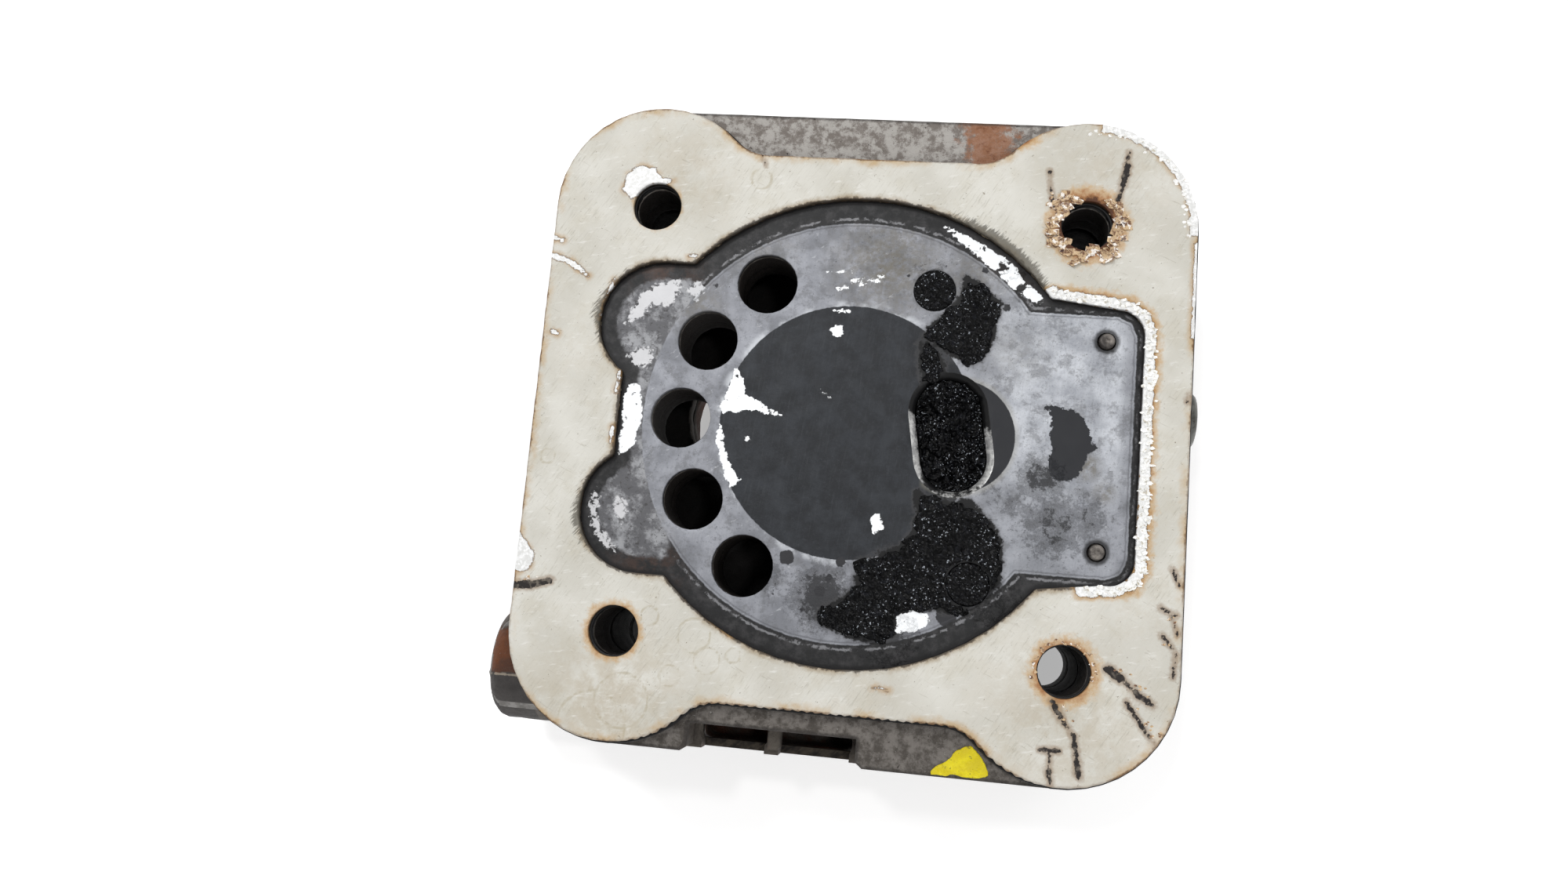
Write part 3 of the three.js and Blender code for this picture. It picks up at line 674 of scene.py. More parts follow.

# Bare metal on the plate, its near-white colour a painted reflection of the lamp.
BARE = [outline(shape) for shape in (
    [(-45.2, 6.2), (-43.4, 6.3), (-42.3, 3.7), (-42.1, 0), (-42.4, -3.8), (-43.5, -6.6),
     (-46.2, -9), (-46, -5.2), (-46.1, 3.4)],
    [(-23.8, 10.8), (-22.9, 9.6), (-21.3, 6.6), (-22, 5.3), (-18.8, 4.4), (-15.8, 2.8),
     (-13.6, 1.8), (-16, 1.8), (-19, 2.3), (-21.3, 2.3), (-25.9, 1.2), (-26.3, 2.6),
     (-24.8, 8)],
    [(-26.6, 0.6), (-25.8, -1.5), (-25.1, -4.6), (-24, -7.6), (-22, -10.5), (-20.5, -11.4),
     (-22.6, -13.3), (-24.2, -11.1), (-25.4, -8.1), (-26.4, -4.6)],
    [(14.8, 41.4), (17.5, 40), (21.1, 37.2), (24.6, 34.4), (26.8, 32.4), (29.8, 29.8),
     (32.4, 28.2), (36.2, 27.3), (34.6, 29.4), (32, 31), (30.4, 33.2), (28.6, 35.6),
     (26, 37.2), (23.6, 38.6), (20.8, 39.8), (18.3, 41), (15.1, 42.2)],
    [(12.2, -34.6), (15, -34), (17.6, -34.5), (17.4, -36.6), (15, -37.8), (11.8, -38.4),
     (11.4, -36.1)],
    [(5, -17.2), (6.6, -16), (7.6, -18.6), (5.8, -20.2)],
    [(-5, 28.2), (3, 30.4), (3.4, 30), (-4.4, 27.8)],
    [(-3, 29.8), (4.6, 31.6), (4.8, 31.2), (-2.6, 29.4)],
    [(-8, 31.4), (-2, 32.2), (-1.8, 31.9), (-7.4, 31)],
    [(-6.2, 20), (-2.8, 20.8), (-3.2, 19), (-4.4, 18.4)],
    [(-5.6, 23.6), (-2, 23.9), (-2.2, 23.3), (-5.2, 23.1)],
    [(-21, -3.2), (-19, -2.8), (-18.8, -3.2), (-20.4, -3.8)],
    [(-7.4, 8.4), (-6, 7), (-4.6, 6.2), (-5.4, 6.2), (-6.6, 7)],
)]
# Pale, worn metal in the two bays.
PALE = [outline(shape) for shape in (
    [(-47.3, 18.6), (-46.2, 21.5), (-44.9, 24.4), (-42.3, 26.6), (-37.2, 28.1), (-36.9, 26.7),
     (-38.7, 22.7), (-42.8, 22.9), (-44.1, 20)],
    [(-35.4, 26.2), (-33.2, 28.2), (-31.8, 26.3), (-33.7, 24.6)],
    [(-45.9, 12.3), (-43.8, 13.8), (-41.8, 13.3), (-41.2, 11.3), (-42.6, 9.8), (-44.9, 10.5)],
    [(-45.4, -16.8), (-44, -17), (-43.2, -19.8), (-44, -22), (-45.4, -20)],
    [(-50.4, -16), (-49.4, -16), (-49.2, -21), (-47, -24.4), (-44.6, -27), (-46.2, -27.2),
     (-49.4, -23.4), (-50.6, -19)],
)]
# The even patch of soot right of the slot.
SMOOTH_SOOT = outline([(36.2, 7.2), (41.5, 6.8), (43.8, 6), (45.6, 3), (46.8, -0.6), (45.4, -2.4),
                       (44.8, -4.8), (43, -7), (41, -7.8), (38.6, -6.4), (38, -3.8), (38.8, -1),
                       (38, 2), (38.6, 4.6)])
# Oily, hazy and browned places on the plate: centre, size, strength.
OILY = [(45.6, -4.2, 2.8, 0.9), (31, 17.5, 7, 0.3), (49, -9, 2.2, 0.8), (-21, 36, 8, 0.4),
        (-33, 23, 6, 0.55), (-38, -24, 5, 0.4), (5, 34, 12, 0.75), (22, 32, 8, 0.5)]
HAZE = [(-3, -33, 8, 1.0), (10, -39, 7, 0.9), (30, -32, 7, 0.6), (40, -16, 9, 0.7), (37, -7, 6, 0.85),
        (33, -13, 6, 0.5), (14, 31, 6, 0.5), (-14, -30, 5, 0.6), (32, 24, 7, 0.3), (0, 36, 10, 0.2),
        (46, -14, 6, 0.6), (28, -11, 5, 0.4), (-42, 4, 6, 0.2), (30, 33, 5, 0.4)]
BROWNED = [(-40, 30, 8, 0.8), (-38, -30, 8, 0.7), (30, 38, 10, 0.2)]

# Outlines of the lumpy carbon.
CARBON = {
    "carbon_patch_upper": [(20.3, 31.4), (22.6, 30.8), (24.9, 29), (27.7, 26.5), (26.7, 24.6),
                           (26.6, 22.5), (25.5, 18), (23.7, 15.2), (22, 14.6), (19.6, 15.6),
                           (15.1, 18), (13.6, 19.8), (14.8, 22.4), (16.6, 23.6), (18.8, 26.5)],
    "carbon_patch_bridge": [(12.2, 18), (14.8, 16.8), (16.9, 15.6), (17.4, 12.2), (15.2, 10.4),
                            (13.6, 10.4), (12.6, 13.8)],
    "carbon_patch_lower": [(13.6, -11.4), (16, -12.4), (21, -13.2), (24, -12.4), (26.6, -15.2),
                           (29.6, -18.8), (30.6, -24), (30.2, -27.6), (28.6, -31.6), (24, -33.6),
                           (18.6, -33.4), (14.3, -34.2), (11.5, -35.4), (11.2, -39), (8.3, -40.6),
                           (2, -40), (-2.2, -38), (-3.4, -36.2), (-1.8, -34.6), (1.6, -33),
                           (3.7, -29.9), (3.2, -26.4), (7.1, -24.4), (10.6, -22.8), (13.6, -19.6),
                           (14.2, -16)],
}
# Separate small spots of soot: centre and radius.
SPOTS = [(-3.6, -32, 1.1), (-2.1, -29.3, 0.8), (-10.5, -26, 1.5), (-6.6, -35.9, 0.6), (0, -26.1, 1.0),
         (1.3, -42.7, 0.6), (20.8, -34.6, 2.0), (24, 33.4, 0.7), (28.4, 31.8, 0.8), (28.6, 26, 0.8),
         (31, 29.8, 0.6), (-29.6, 27.4, 0.6), (-12.8, -33, 0.5), (16.4, 33.6, 0.5), (9, 31.6, 0.4)]

# The dab of yellow marking paint on the front ledge.
YELLOW_PAINT = outline([(19.6, -64.1), (21, -62.6), (23.4, -60.8), (25.4, -58.8), (27.2, -58.4),
                        (29.2, -60.4), (30.8, -62.6), (30.9, -64.1)])


def shapes_distance(shapes, x, y):
    return np.minimum.reduce([loop_distance(shape, x, y) for shape in shapes])


def strokes_distance(strokes, x, y):
    return np.minimum.reduce([stroke_distance(x, y, a, b, w) for a, b, w in strokes])


def path_distance(path, x, y):
    return np.minimum.reduce([stroke_distance(x, y, a, b) for a, b in zip(path, path[1:])])


def blots(places, x, y):
    """The strongest of several soft round blots: centre, size, strength."""
    total = np.zeros(len(x))
    for cx, cy, size, strength in places:
        total = np.maximum(total, strength * np.clip(1.25 - np.hypot(x - cx, y - cy) / size, 0, 1))
    return total


def reed_print(x, y):
    """Distance to the outline that the missing suction reed left on the plate."""
    return np.minimum(disc_distance(x, y, 0, 0, REED_DISC_R), loop_distance(REED_TAB, x, y))


# ---------------------------------------------------------------- materials


def coat_material():
    p = Paint("coated_gasket")
    cream = p.mix(p.cloud(0.35, 0.65, 16, 3), (202, 199, 189), (218, 216, 208))
    cream = p.lay(cream, p.cloud(0.46, 0.72, 7, 6, 0.62), 0.35, (192, 185, 166))
    cream = p.lay(cream, p.times(p.field("grubby"), p.cloud(0.36, 0.62, 4, 6, 0.68)), 0.6, (180, 168, 146))
    strokes = p.noise(0.4, 4, 0.75, p.stretched(9, 1, 58))
    here = p.step(p.noise(14, 4, 0.6), 0.4, 0.6, 0.15, 0.6)
    cream = p.mix(p.times(p.step(strokes, 0.5, 0.74), here), cream, (160, 155, 140))
    across = p.cloud(0.62, 0.72, 0.5, 4, 0.7, p.stretched(12, 1, -24))
    cream = p.lay(cream, across, 0.4, (150, 142, 124))
    light = p.cloud(0.56, 0.75, 0.8, 4, 0.6, p.stretched(4, 1, 12))
    cream = p.lay(cream, light, 0.5, (236, 235, 231))
    specks = p.cloud(0.655, 0.71, 0.7, 4, 0.7)
    cream = p.lay(cream, specks, 0.7, (112, 98, 74))
    patchy = p.cloud(0.38, 0.62, 9, 4, 0.6)
    edge = p.warped("edge", 2.4, 1.6)
    cream = p.lay(cream, p.times(p.step(edge, 2.0, 0.1), patchy), 0.7, (186, 150, 92))
    thin = p.step(p.warped("edge", 1.0, 0.55), 0.5, 0.1)
    cream = p.mix(p.times(thin, p.step(patchy, 0, 1, 0.35, 0.85)), cream, (98, 66, 36))
    inner = p.warped("inner", 1.2, 0.8)
    patches = p.step(p.noise(7, 4, 0.6), 0.4, 0.6, 0.3, 1.0)
    cream = p.lay(cream, p.times(p.step(inner, 1.5, 0.1), patches), 0.7, (146, 122, 84))
    cream = p.lay(cream, p.step(inner, 0.5, 0.12), 0.85, (52, 42, 34))
    teeth = p.noise(0.4, 3, 0.7, p.stretched(7, 1, 48))
    smudge = p.step(p.add(p.field("smudge"), p.times(p.add(teeth, -0.5), 1.7)), 0.3, 0.62)
    cream = p.lay(cream, smudge, 0.8, (82, 78, 68))
    rings = p.step(p.warped("ring", 2.5, 0.4), 0.38, 0.0)
    cream = p.lay(cream, rings, 0.42, (160, 146, 110))
    rust = p.warped("rust", 1.8, 0.6, 7, 0.72)
    cream = p.lay(cream, p.step(rust, 0.2, 0.62), 0.7, (196, 158, 104))
    cream = p.lay(cream, p.step(rust, 0.5, 0.86), 0.85, (158, 104, 58))
    cream = p.mix(p.step(rust, 0.84, 1.02), cream, (84, 50, 30))
    peel = p.warped("peel", 1.2, 0.9, 6)
    # Painted reflection: bare metal where the coat is peeled, painted near white as the lamp's reflection
    # in it.
    white = p.mix(p.cloud(0.4, 0.66, 0.6, 4), (224, 224, 222), (252, 252, 252))
    bare = p.step(peel, 0.08, -0.06)
    halo = p.times(p.step(peel, 1.3, 0.1), p.cloud(0.42, 0.6, 2.4, 5, 0.7))
    cream = p.lay(cream, halo, 0.6, (178, 140, 86))
    cream = p.lay(cream, p.step(peel, 0.3, 0.1), 0.6, (120, 88, 52))
    cream = p.mix(bare, cream, white)
    mark = p.warped(p.warped("mark", 3.2, 0.6), 0.9, 0.6, 7)
    cream = p.lay(cream, p.step(mark, 0.9, 0.05), 0.55, (132, 100, 66))
    black = p.step(mark, 0.08, -0.1)
    cream = p.mix(black, cream, p.mix(p.cloud(0.5, 0.7, 1.2, 4), (34, 28, 26), (110, 102, 92)))
    side = p.mix(p.cloud(0.35, 0.7, 1.1, 4), (30, 27, 26), (92, 72, 50))
    side = p.mix(p.cloud(0.6, 0.68, 1.4, 4, 0.6), side, (196, 178, 148))
    wall = p.step(p.field("wall"), 0.2, 0.8)
    colour = p.mix(wall, cream, side)
    height = p.add(p.times(p.noise(0.5, 5, 0.6), 0.3), p.times(p.flip(bare), 0.9))
    height = p.add(height, p.times(black, -0.8))
    height = p.add(height, p.times(p.step(rust, 0.8, 1.0), p.noise(0.9, 5, 0.75)))
    normal = p.bump(height, 0.14)
    roughness = p.add(0.6, p.times(bare, -0.26))
    return p.done(colour, roughness, 0.0, normal, 0.35)


def torn_material():
    p = Paint("torn_coat")
    base = p.mix(p.cloud(0.4, 0.56, 0.9, 4, 0.7), (112, 76, 52), (206, 178, 140))
    base = p.mix(p.cloud(0.55, 0.62, 1.3, 3, 0.6), base, (246, 240, 232))
    base = p.mix(p.cloud(0.42, 0.36, 1.0, 4, 0.7), base, (62, 36, 30))
    return p.done(base, 0.4, 0.0, p.bump(p.noise(0.4, 4), 0.06), 0.5)


def crumb_material():
    p = Paint("white_crumbs")
    base = p.mix(p.cloud(0.36, 0.5, 0.8, 4, 0.7), (196, 188, 170), (252, 252, 250))
    base = p.mix(p.cloud(0.34, 0.28, 1.0, 4, 0.7), base, (96, 80, 58))
    return p.done(base, 0.5, 0.0, p.bump(p.noise(0.3, 4), 0.08), 0.5)


def plate_material():
    p = Paint("machined_iron")
    fine = p.noise(0.7, 5, 0.65)
    grey = p.mix(p.cloud(0.36, 0.66, 9, 5, 0.6), (122, 124, 130), (156, 158, 165))
    # Painted reflection: lighter grey where the lamp's glare is painted on the plate's right side.
    glare = p.mix(p.cloud(0.36, 0.66, 6, 8, 0.7), (156, 159, 166), (204, 207, 213))
    grey = p.mix(p.field("glare_share"), grey, glare)
    freckles = p.cloud(0.57, 0.63, 0.6, 6, 0.8)
    grey = p.lay(grey, freckles, 0.42, (104, 104, 108))
    drag = p.noise(0.5, 4, 0.7, p.stretched(14, 1, 84))
    grey = p.lay(grey, p.step(drag, 0.5, 0.72), 0.22, (112, 114, 118))
    tan = p.times(p.field("oily"), p.cloud(0.3, 0.62, 1.6, 6, 0.7))
    grey = p.mix(tan, grey, (104, 98, 84))
    clouds = p.cloud(0.5, 0.6, 4.2, 9, 0.75)
    grey = p.lay(grey, clouds, 0.55, (108, 109, 112))
    mottle = p.cloud(0.55, 0.62, 1.5, 7, 0.74)
    grey = p.lay(grey, mottle, 0.42, (92, 93, 96))
    worn_light = p.cloud(0.6, 0.68, 1.1, 6, 0.75, p.stretched(3, 1, 30))
    grey = p.lay(grey, worn_light, 0.5, (196, 198, 202))
    specks = p.cloud(0.655, 0.69, 0.5, 5, 0.65)
    grey = p.lay(grey, specks, 0.9, (30, 29, 29))
    haze = p.warped("haze", 1.8, 1.1, 9, 0.82)
    grey = p.lay(grey, p.step(haze, 0.2, 0.8), 0.5, (70, 70, 72))
    grey = p.lay(grey, p.step(haze, 0.62, 0.84), 0.85, (36, 36, 38))
    grey = p.mix(p.step(p.warped("pale", 1.3, 2.6, 9), 0.4, -0.1), grey,
                 p.mix(mottle, (198, 199, 202), (120, 120, 120)))
    # the round prints
    disc = p.warped("disc", 1.0, 0.22)
    dark = p.mix(p.cloud(0.36, 0.68, 5, 6, 0.65), (28, 30, 34), (44, 47, 52))
    brushed = p.cloud(0.5, 0.78, 0.6, 5, 0.75, p.stretched(11, 1, 84))
    dark = p.lay(dark, brushed, 0.5, (62, 65, 69))
    scuffed = p.cloud(0.52, 0.66, 1.0, 8, 0.8)
    dark = p.lay(dark, scuffed, 0.5, (56, 59, 64))
    streak = p.cloud(0.66, 0.72, 0.8, 4, 0.7, p.stretched(8, 1, 8))
    dark = p.lay(dark, streak, 0.6, (16, 17, 19))
    dark = p.lay(dark, p.cloud(0.62, 0.68, 1.2, 6, 0.75), 0.5, (34, 35, 38))
    around = p.times(p.step(disc, 1.6, 0.2), p.cloud(0.44, 0.6, 5.0, 4))
    grey = p.lay(grey, around, 0.8, (200, 203, 208))
    grey = p.mix(p.step(disc, 0.1, -0.1), grey, dark)
    small = p.warped("small_disc", 1.0, 0.12)
    grey = p.lay(grey, p.step(small, 1.3, 0.1), 0.35, (150, 146, 132))
    grey = p.mix(p.step(small, 0.1, -0.1), grey, (36, 37, 41))
    soot = p.warped("soot", 1.6, 1.7, 8)
    grey = p.mix(p.step(soot, 0.1, -0.15), grey, (38, 39, 43))
    spots = p.warped("spots", 0.8, 0.5, 5)
    grey = p.mix(p.step(spots, 0.1, -0.1), grey, (46, 46, 49))
    burnt = p.warped(p.warped("burnt", 3.0, 1.6), 0.9, 1.2, 7)
    grey = p.lay(grey, p.step(burnt, 1.5, 0.3), 0.5, (74, 73, 74))
    grey = p.mix(p.step(burnt, 0.7, 0.2), grey, (14, 14, 15))
    # grime outside the reed's print
    out = p.warped("print", 1.6, 0.3)
    grime = p.mix(p.cloud(0.42, 0.7, 2.6, 6, 0.7), (30, 30, 31), (58, 57, 58))
    grime = p.mix(p.times(p.field("browned"), p.cloud(0.4, 0.6, 3.6, 6, 0.7)), grime, (72, 54, 46))
    lobe_mix = p.cloud(0.44, 0.62, 4.2, 8, 0.7)
    lobe_grey = p.mix(lobe_mix, (92, 92, 95), (152, 153, 156))
    lobe_grey = p.lay(lobe_grey, p.cloud(0.54, 0.6, 1.1, 8, 0.75), 0.7, (58, 56, 56))
    lobe_edge = p.step(p.warped("lobe", 2.0, 0.5), 0.25, 0.75)
    grime = p.mix(lobe_edge, grime, lobe_grey)
    grime = p.lay(grime, p.step(p.warped("pale", 1.1, 2.6, 9), 0.3, -0.2), 0.95, (206, 206, 208))
    grey = p.mix(p.step(out, -0.1, 0.15), grey, grime)
    line = p.step(p.math("ABSOLUTE", p.add(out, 0.45)), 0.3, 0.0)
    line = p.times(line, p.flip(lobe_edge))
    burr = p.step(p.math("ABSOLUTE", p.add(p.warped("print", 1.2, 0.8), -0.9)), 0.4, 0.1)
    burr = p.times(burr, p.cloud(0.46, 0.56, 3.2, 5, 0.7))
    grey = p.mix(p.times(p.times(burr, 0.8), p.flip(lobe_edge)), grey, (134, 134, 137))
    grey = p.lay(grey, line, 0.45, (66, 66, 70))
    gap = p.warped("gap", 1.2, 0.35)
    grey = p.lay(grey, p.step(gap, 1.1, 0.3), 0.85, (20, 19, 20))
    # Bare metal, its near-white colour a painted reflection of the lamp, with dark flecks.
    bare = p.step(p.warped(p.warped("bare", 1.3, 1.1, 8), 4.0, 0.9), 0.08, -0.08)
    bare = p.times(bare, p.cloud(0.365, 0.385, 1.6, 6, 0.7))
    grey = p.mix(bare, grey, p.mix(p.cloud(0.66, 0.69, 0.9, 6, 0.75), (248, 250, 252), (70, 66, 62)))
    # Painted shade: the walls of the holes through the plate are painted near black.
    inside = p.step(p.field("wall"), 0.2, 0.8)
    bore = p.mix(p.cloud(0.4, 0.7, 1.6, 4), (3, 3, 3), (22, 20, 19))
    colour = p.mix(inside, grey, bore)
    height = p.add(p.times(fine, 0.4), p.times(p.noise(2.5, 4), 0.5))
    height = p.add(height, p.times(p.step(haze, 0.4, 0.62), p.noise(0.4, 3)))
    normal = p.bump(height, 0.07)
    roughness = p.add(0.38, p.times(p.noise(4, 4), 0.25))
    return p.done(colour, roughness, p.times(p.flip(inside), 0.2), normal, 0.35)


def slot_rim_material():
    p = Paint("slot_rim")
    base = p.mix(p.cloud(0.4, 0.62, 1.4, 5, 0.7), (150, 150, 150), (206, 206, 204))
    scored = p.noise(0.5, 3, 0.6, p.stretched(1, 1, 10, 9))
    base = p.lay(base, p.step(scored, 0.5, 0.7), 0.4, (104, 104, 104))
    # Soot and painted shade on the slot's wall: dark at its ends and left side, and painted shade deepening
    # down the wall.
    soot_and_shade = p.warped("soot_and_shade", 1.2, 0.55, 6, 0.75)
    base = p.mix(p.step(soot_and_shade, 0.35, 0.6), base, (20, 20, 21))
    return p.done(base, 0.35, 0.3, p.bump(p.noise(0.6, 4), 0.05), 0.4)


def ledge_material():
    p = Paint("cast_ledge")
    base = p.mix(p.cloud(0.4, 0.62, 2.4, 7, 0.72), (80, 75, 70), (124, 119, 114))
    upper = p.mix(p.cloud(0.42, 0.58, 2.2, 8, 0.76), (124, 117, 111), (178, 174, 169))
    base = p.mix(p.field("back"), base, upper)
    specks = p.cloud(0.66, 0.71, 0.5, 4, 0.7)
    base = p.lay(base, specks, 0.8, (196, 194, 190))
    pits = p.cloud(0.35, 0.3, 0.9, 4, 0.7)
    base = p.lay(base, pits, 0.8, (40, 34, 31))
    rust = p.warped("rust_patch", 3.0, 0.9, 7, 0.72)
    base = p.lay(base, p.step(rust, 0.5, 0.85), 0.8, (156, 104, 70))
    base = p.lay(base, p.step(rust, 0.95, 1.2), 0.85, (110, 64, 42))
    # Painted shade: a dark line along the ledge's outer edge.
    rim = p.step(p.warped("outer_edge", 1.5, 0.5), 0.9, 0.3)
    base = p.lay(base, rim, 0.7, (52, 48, 46))
    side = p.mix(p.cloud(0.35, 0.65, 6, 6, 0.65), (66, 60, 55), (98, 92, 85))
    side = p.lay(side, p.cloud(0.55, 0.7, 8, 7, 0.7), 0.7, (100, 64, 42))
    base = p.mix(p.step(p.field("side"), 0.3, 0.9), base, side)
    # Painted shade: the walls of the holes below the ledge are painted near black.
    inside = p.step(p.field("bore"), 0.3, 0.7)
    base = p.mix(inside, base, p.mix(p.noise(1.5, 4), (10, 9, 9), (56, 50, 46)))
    height = p.add(p.noise(1.1, 6, 0.7), p.times(p.noise(0.35, 3, 0.6), 0.4))
    return p.done(base, 0.72, 0.1, p.bump(height, 0.35), 0.3)


def casting_material():
    p = Paint("cast_iron")
    base = p.mix(p.cloud(0.36, 0.66, 10, 6, 0.62), (66, 60, 55), (100, 94, 88))
    base = p.lay(base, p.cloud(0.52, 0.68, 1.3, 6, 0.72), 0.6, (50, 45, 42))
    rust = p.warped("rust_patch", 6, 1.0, 8, 0.7)
    base = p.lay(base, p.step(rust, 0.5, 0.95), 0.85, (84, 50, 34))
    base = p.lay(base, p.step(rust, 0.95, 1.35), 0.7, (118, 68, 38))
    flecks = p.cloud(0.67, 0.73, 0.6, 4, 0.7)
    base = p.lay(base, flecks, 0.6, (150, 146, 140))
    # Painted shade: dark grey over the inlet boss's half below its parting line.
    boss_underside_shade = p.step(p.warped("boss_underside_shade", 3, 0.3), 0.3, 0.7)
    base = p.lay(base, boss_underside_shade, 0.85, p.mix(p.noise(2, 5), (48, 46, 46), (80, 77, 76)))
    seam = p.step(p.warped("seam", 1.2, 0.35), 0.35, 0.1)
    base = p.lay(base, seam, 0.7, (176, 164, 148))
    flat = p.step(p.field("machined"), 0.4, 0.8)
    tool = p.noise(0.5, 4, 0.7, p.stretched(8, 1, 30))
    faced = p.mix(p.cloud(0.4, 0.65, 2.3, 6, 0.7), (112, 109, 106), (148, 146, 143))
    faced = p.lay(faced, p.step(tool, 0.5, 0.7), 0.4, (84, 80, 76))
    base = p.mix(flat, base, faced)
    # Painted shade: the bores, the boss threads and the hollow coolant space are painted near black.
    inside = p.step(p.field("bore"), 0.3, 0.7)
    base = p.mix(inside, base, p.mix(p.noise(2.5, 5), (5, 5, 5), (30, 26, 24)))
    height = p.add(p.noise(1.4, 6, 0.7), p.times(p.noise(0.4, 3, 0.6), 0.35))
    normal = p.bump(p.times(height, p.step(flat, 0.0, 1.0, 1.0, 0.25)), 0.4)
    return p.done(base, p.add(0.55, p.times(p.noise(3, 4), 0.3)), 0.15, normal, 0.35)


def carbon_material():
    p = Paint("carbon")
    base = p.mix(p.cloud(0.5, 0.7, 1.2, 5), (5, 5, 6), (24, 25, 29))
    # Painted glints: small clusters of bright specks laid into the carbon's colour.
    painted_glints = p.times(p.cloud(0.63, 0.68, 0.5, 2, 0.6), p.cloud(0.4, 0.56, 5, 3))
    base = p.lay(base, painted_glints, 0.9, (176, 182, 190))
    height = p.add(p.noise(1.1, 3, 0.6), p.times(p.cells(0.9), -0.7))
    normal = p.bump(height, 0.5)
    roughness = p.step(p.noise(2.0, 3), 0.35, 0.65, 0.1, 0.3)
    return p.done(base, roughness, 0.0, normal, 0.12)


def metal_material(name, pale, dark, stain, size=1.2):
    p = Paint(name)
    base = p.mix(p.cloud(0.35, 0.65, size * 3, 5), dark, pale)
    base = p.lay(base, p.cloud(0.52, 0.66, size, 6, 0.7), 0.75, stain)
    scratches = p.noise(size / 2, 3, 0.6, p.stretched(9, 1, 25))
    base = p.lay(base, p.step(scratches, 0.58, 0.76), 0.35, pale)
    normal = p.bump(p.noise(size * 0.5, 5, 0.65), 0.06)
    return p.done(base, p.add(0.35, p.times(p.noise(size * 2, 4), 0.3)), 0.5, normal, 0.4)


def fibre_material():
    p = Paint("fibre_gasket")
    base = p.mix(p.cloud(0.35, 0.65, 2.0, 5), (32, 29, 27), (64, 58, 51))
    strands = p.noise(0.4, 4, 0.7, p.stretched(6, 1.5, 40))
    base = p.lay(base, p.step(strands, 0.5, 0.7), 0.5, (92, 84, 70))
    return p.done(base, 0.85, 0.0, p.bump(strands, 0.15), 0.25)


def paint_material():
    p = Paint("yellow_paint")
    base = p.mix(p.cloud(0.4, 0.65, 2.0, 4), (220, 200, 0), (238, 222, 12))
    thin = p.cloud(0.58, 0.66, 1.0, 5, 0.7)
    base = p.lay(base, thin, 0.8, (128, 112, 24))
    return p.done(base, 0.3, 0.0, p.bump(p.noise(1.0, 5, 0.65), 0.4), 0.4)


IRON = casting_material()
BLACK = carbon_material()
STEEL = metal_material("fastener_steel", (150, 152, 156), (92, 92, 94), (66, 50, 40))
SPRING = metal_material("spring_steel", (96, 104, 118), (58, 62, 72), (44, 40, 38))
PLUG = metal_material("plug_steel", (118, 118, 114), (84, 84, 80), (58, 48, 40))
COPPER = metal_material("copper", (176, 112, 76), (130, 78, 52), (70, 50, 40))
FIBRE = fibre_material()
PIN = metal_material("pin_steel", (132, 126, 120), (66, 62, 60), (40, 34, 30), 0.7)


# ---------------------------------------------------------------- the coated gasket


def corner_strip(distance, x, y):
    """The peeled strip along the outer edge round the upper right corner."""
    return np.maximum.reduce([distance - STRIP_WIDTH, STRIP_START[0] - x, STRIP_START[1] - y])


def gasket_fields(points):
    x, y, z = points.T
    from_edge = -loop_distance(gasket_outer, x, y)
    from_pocket = loop_distance(pocket_loop, x, y)
    from_bolts = np.minimum.reduce([disc_distance(x, y, bx, by, BOLT_R) for bx, by in BOLTS])
    rust = np.zeros(len(x))
    for (bx, by), (strength, reach) in zip(BOLTS, RUSTY_BOLTS):
        near = np.clip(1.15 - disc_distance(x, y, bx, by, BOLT_R) / reach, 0, 1.1)
        rust = np.maximum(rust, strength * near)
    crumbled = path_distance(CRUMBLED, x, y)
    rust = np.maximum(rust, 0.62 * ramp(crumbled, 3.36, 0.96))
    stain_x, stain_y, stain_size = EDGE_STAIN
    stain = np.clip(1.2 - np.hypot(x - stain_x, (y - stain_y) * 1.6) / stain_size, 0, 1)
    rust = np.maximum(rust, 0.95 * stain)
    peel = np.minimum(shapes_distance(PEELED, x, y), strokes_distance(PEELED_STROKES, x, y))
    peel = np.minimum.reduce([peel, corner_strip(from_edge, x, y),
                              np.maximum(crumbled - 1.4, from_pocket - 1.9)])
    angle = np.degrees(np.arctan2(y, x))
    beside = ramp(from_pocket, 2.8, 0)
    smudge = beside * ramp(np.abs(angle - 53), 22.1, 5.1)
    smudge = np.maximum(smudge, 0.7 * beside * ramp(np.abs(np.abs(angle) - 158), 14, 0))
    rings = np.minimum.reduce([np.abs(disc_distance(x, y, cx, cy, r)) for cx, cy, r in RINGS])
    return {
        "edge": from_edge, "inner": np.minimum(from_pocket, from_bolts + 0.4), "rust": rust,
        "peel": peel, "mark": strokes_distance(MARKS, x, y), "smudge": np.clip(1.25 * smudge, 0, 1),
        "ring": rings, "grubby": blots(GRUBBY, x, y), "wall": (z < GASKET_TOP - 0.35).astype(float),
    }


def waist_wave(x, y):
    """Small waves that the press tool left along the front edge, and a lightly torn rim."""
    front = ramp(y, -50, -53) * ramp(np.abs(x), 40, 36)
    return 0.16 * front * np.sin(x * 2 * math.pi / 1.8) + 0.07 * grain(x, y, 0 * x, 1.6, 3)


coat = Shell()
slab(coat, gasket_outer, [pocket_loop] + gasket_bolts, GASKET_TOP, 0.0, 0.55,
     ease=(0.25, 0.2), ragged=waist_wave,
     lift=lambda x, y: 0.03 * rough(x, y, 0 * x, 9, 3, 4))
block_gasket = coat.build("coated_gasket", [coat_material()], gasket_fields(coat.all_points()))
finish_piece(block_gasket, "coated_gasket", "block_gasket")

crumbs = Shell()
flake_heap(crumbs, along_path(CRUMBLED, 0.3, 0.5, 5), 0.95, 6, GASKET_TOP + 0.1)
corner = arc_path(45, 45, 17, range(-12, 103, 5))
flake_heap(crumbs, along_path(corner, 0.6, 0.5, 8), 0.8, 9, GASKET_TOP + 0.08)
finish_piece(crumbs.build("gasket_crumbs", [crumb_material()], smooth=False), "coated_gasket")

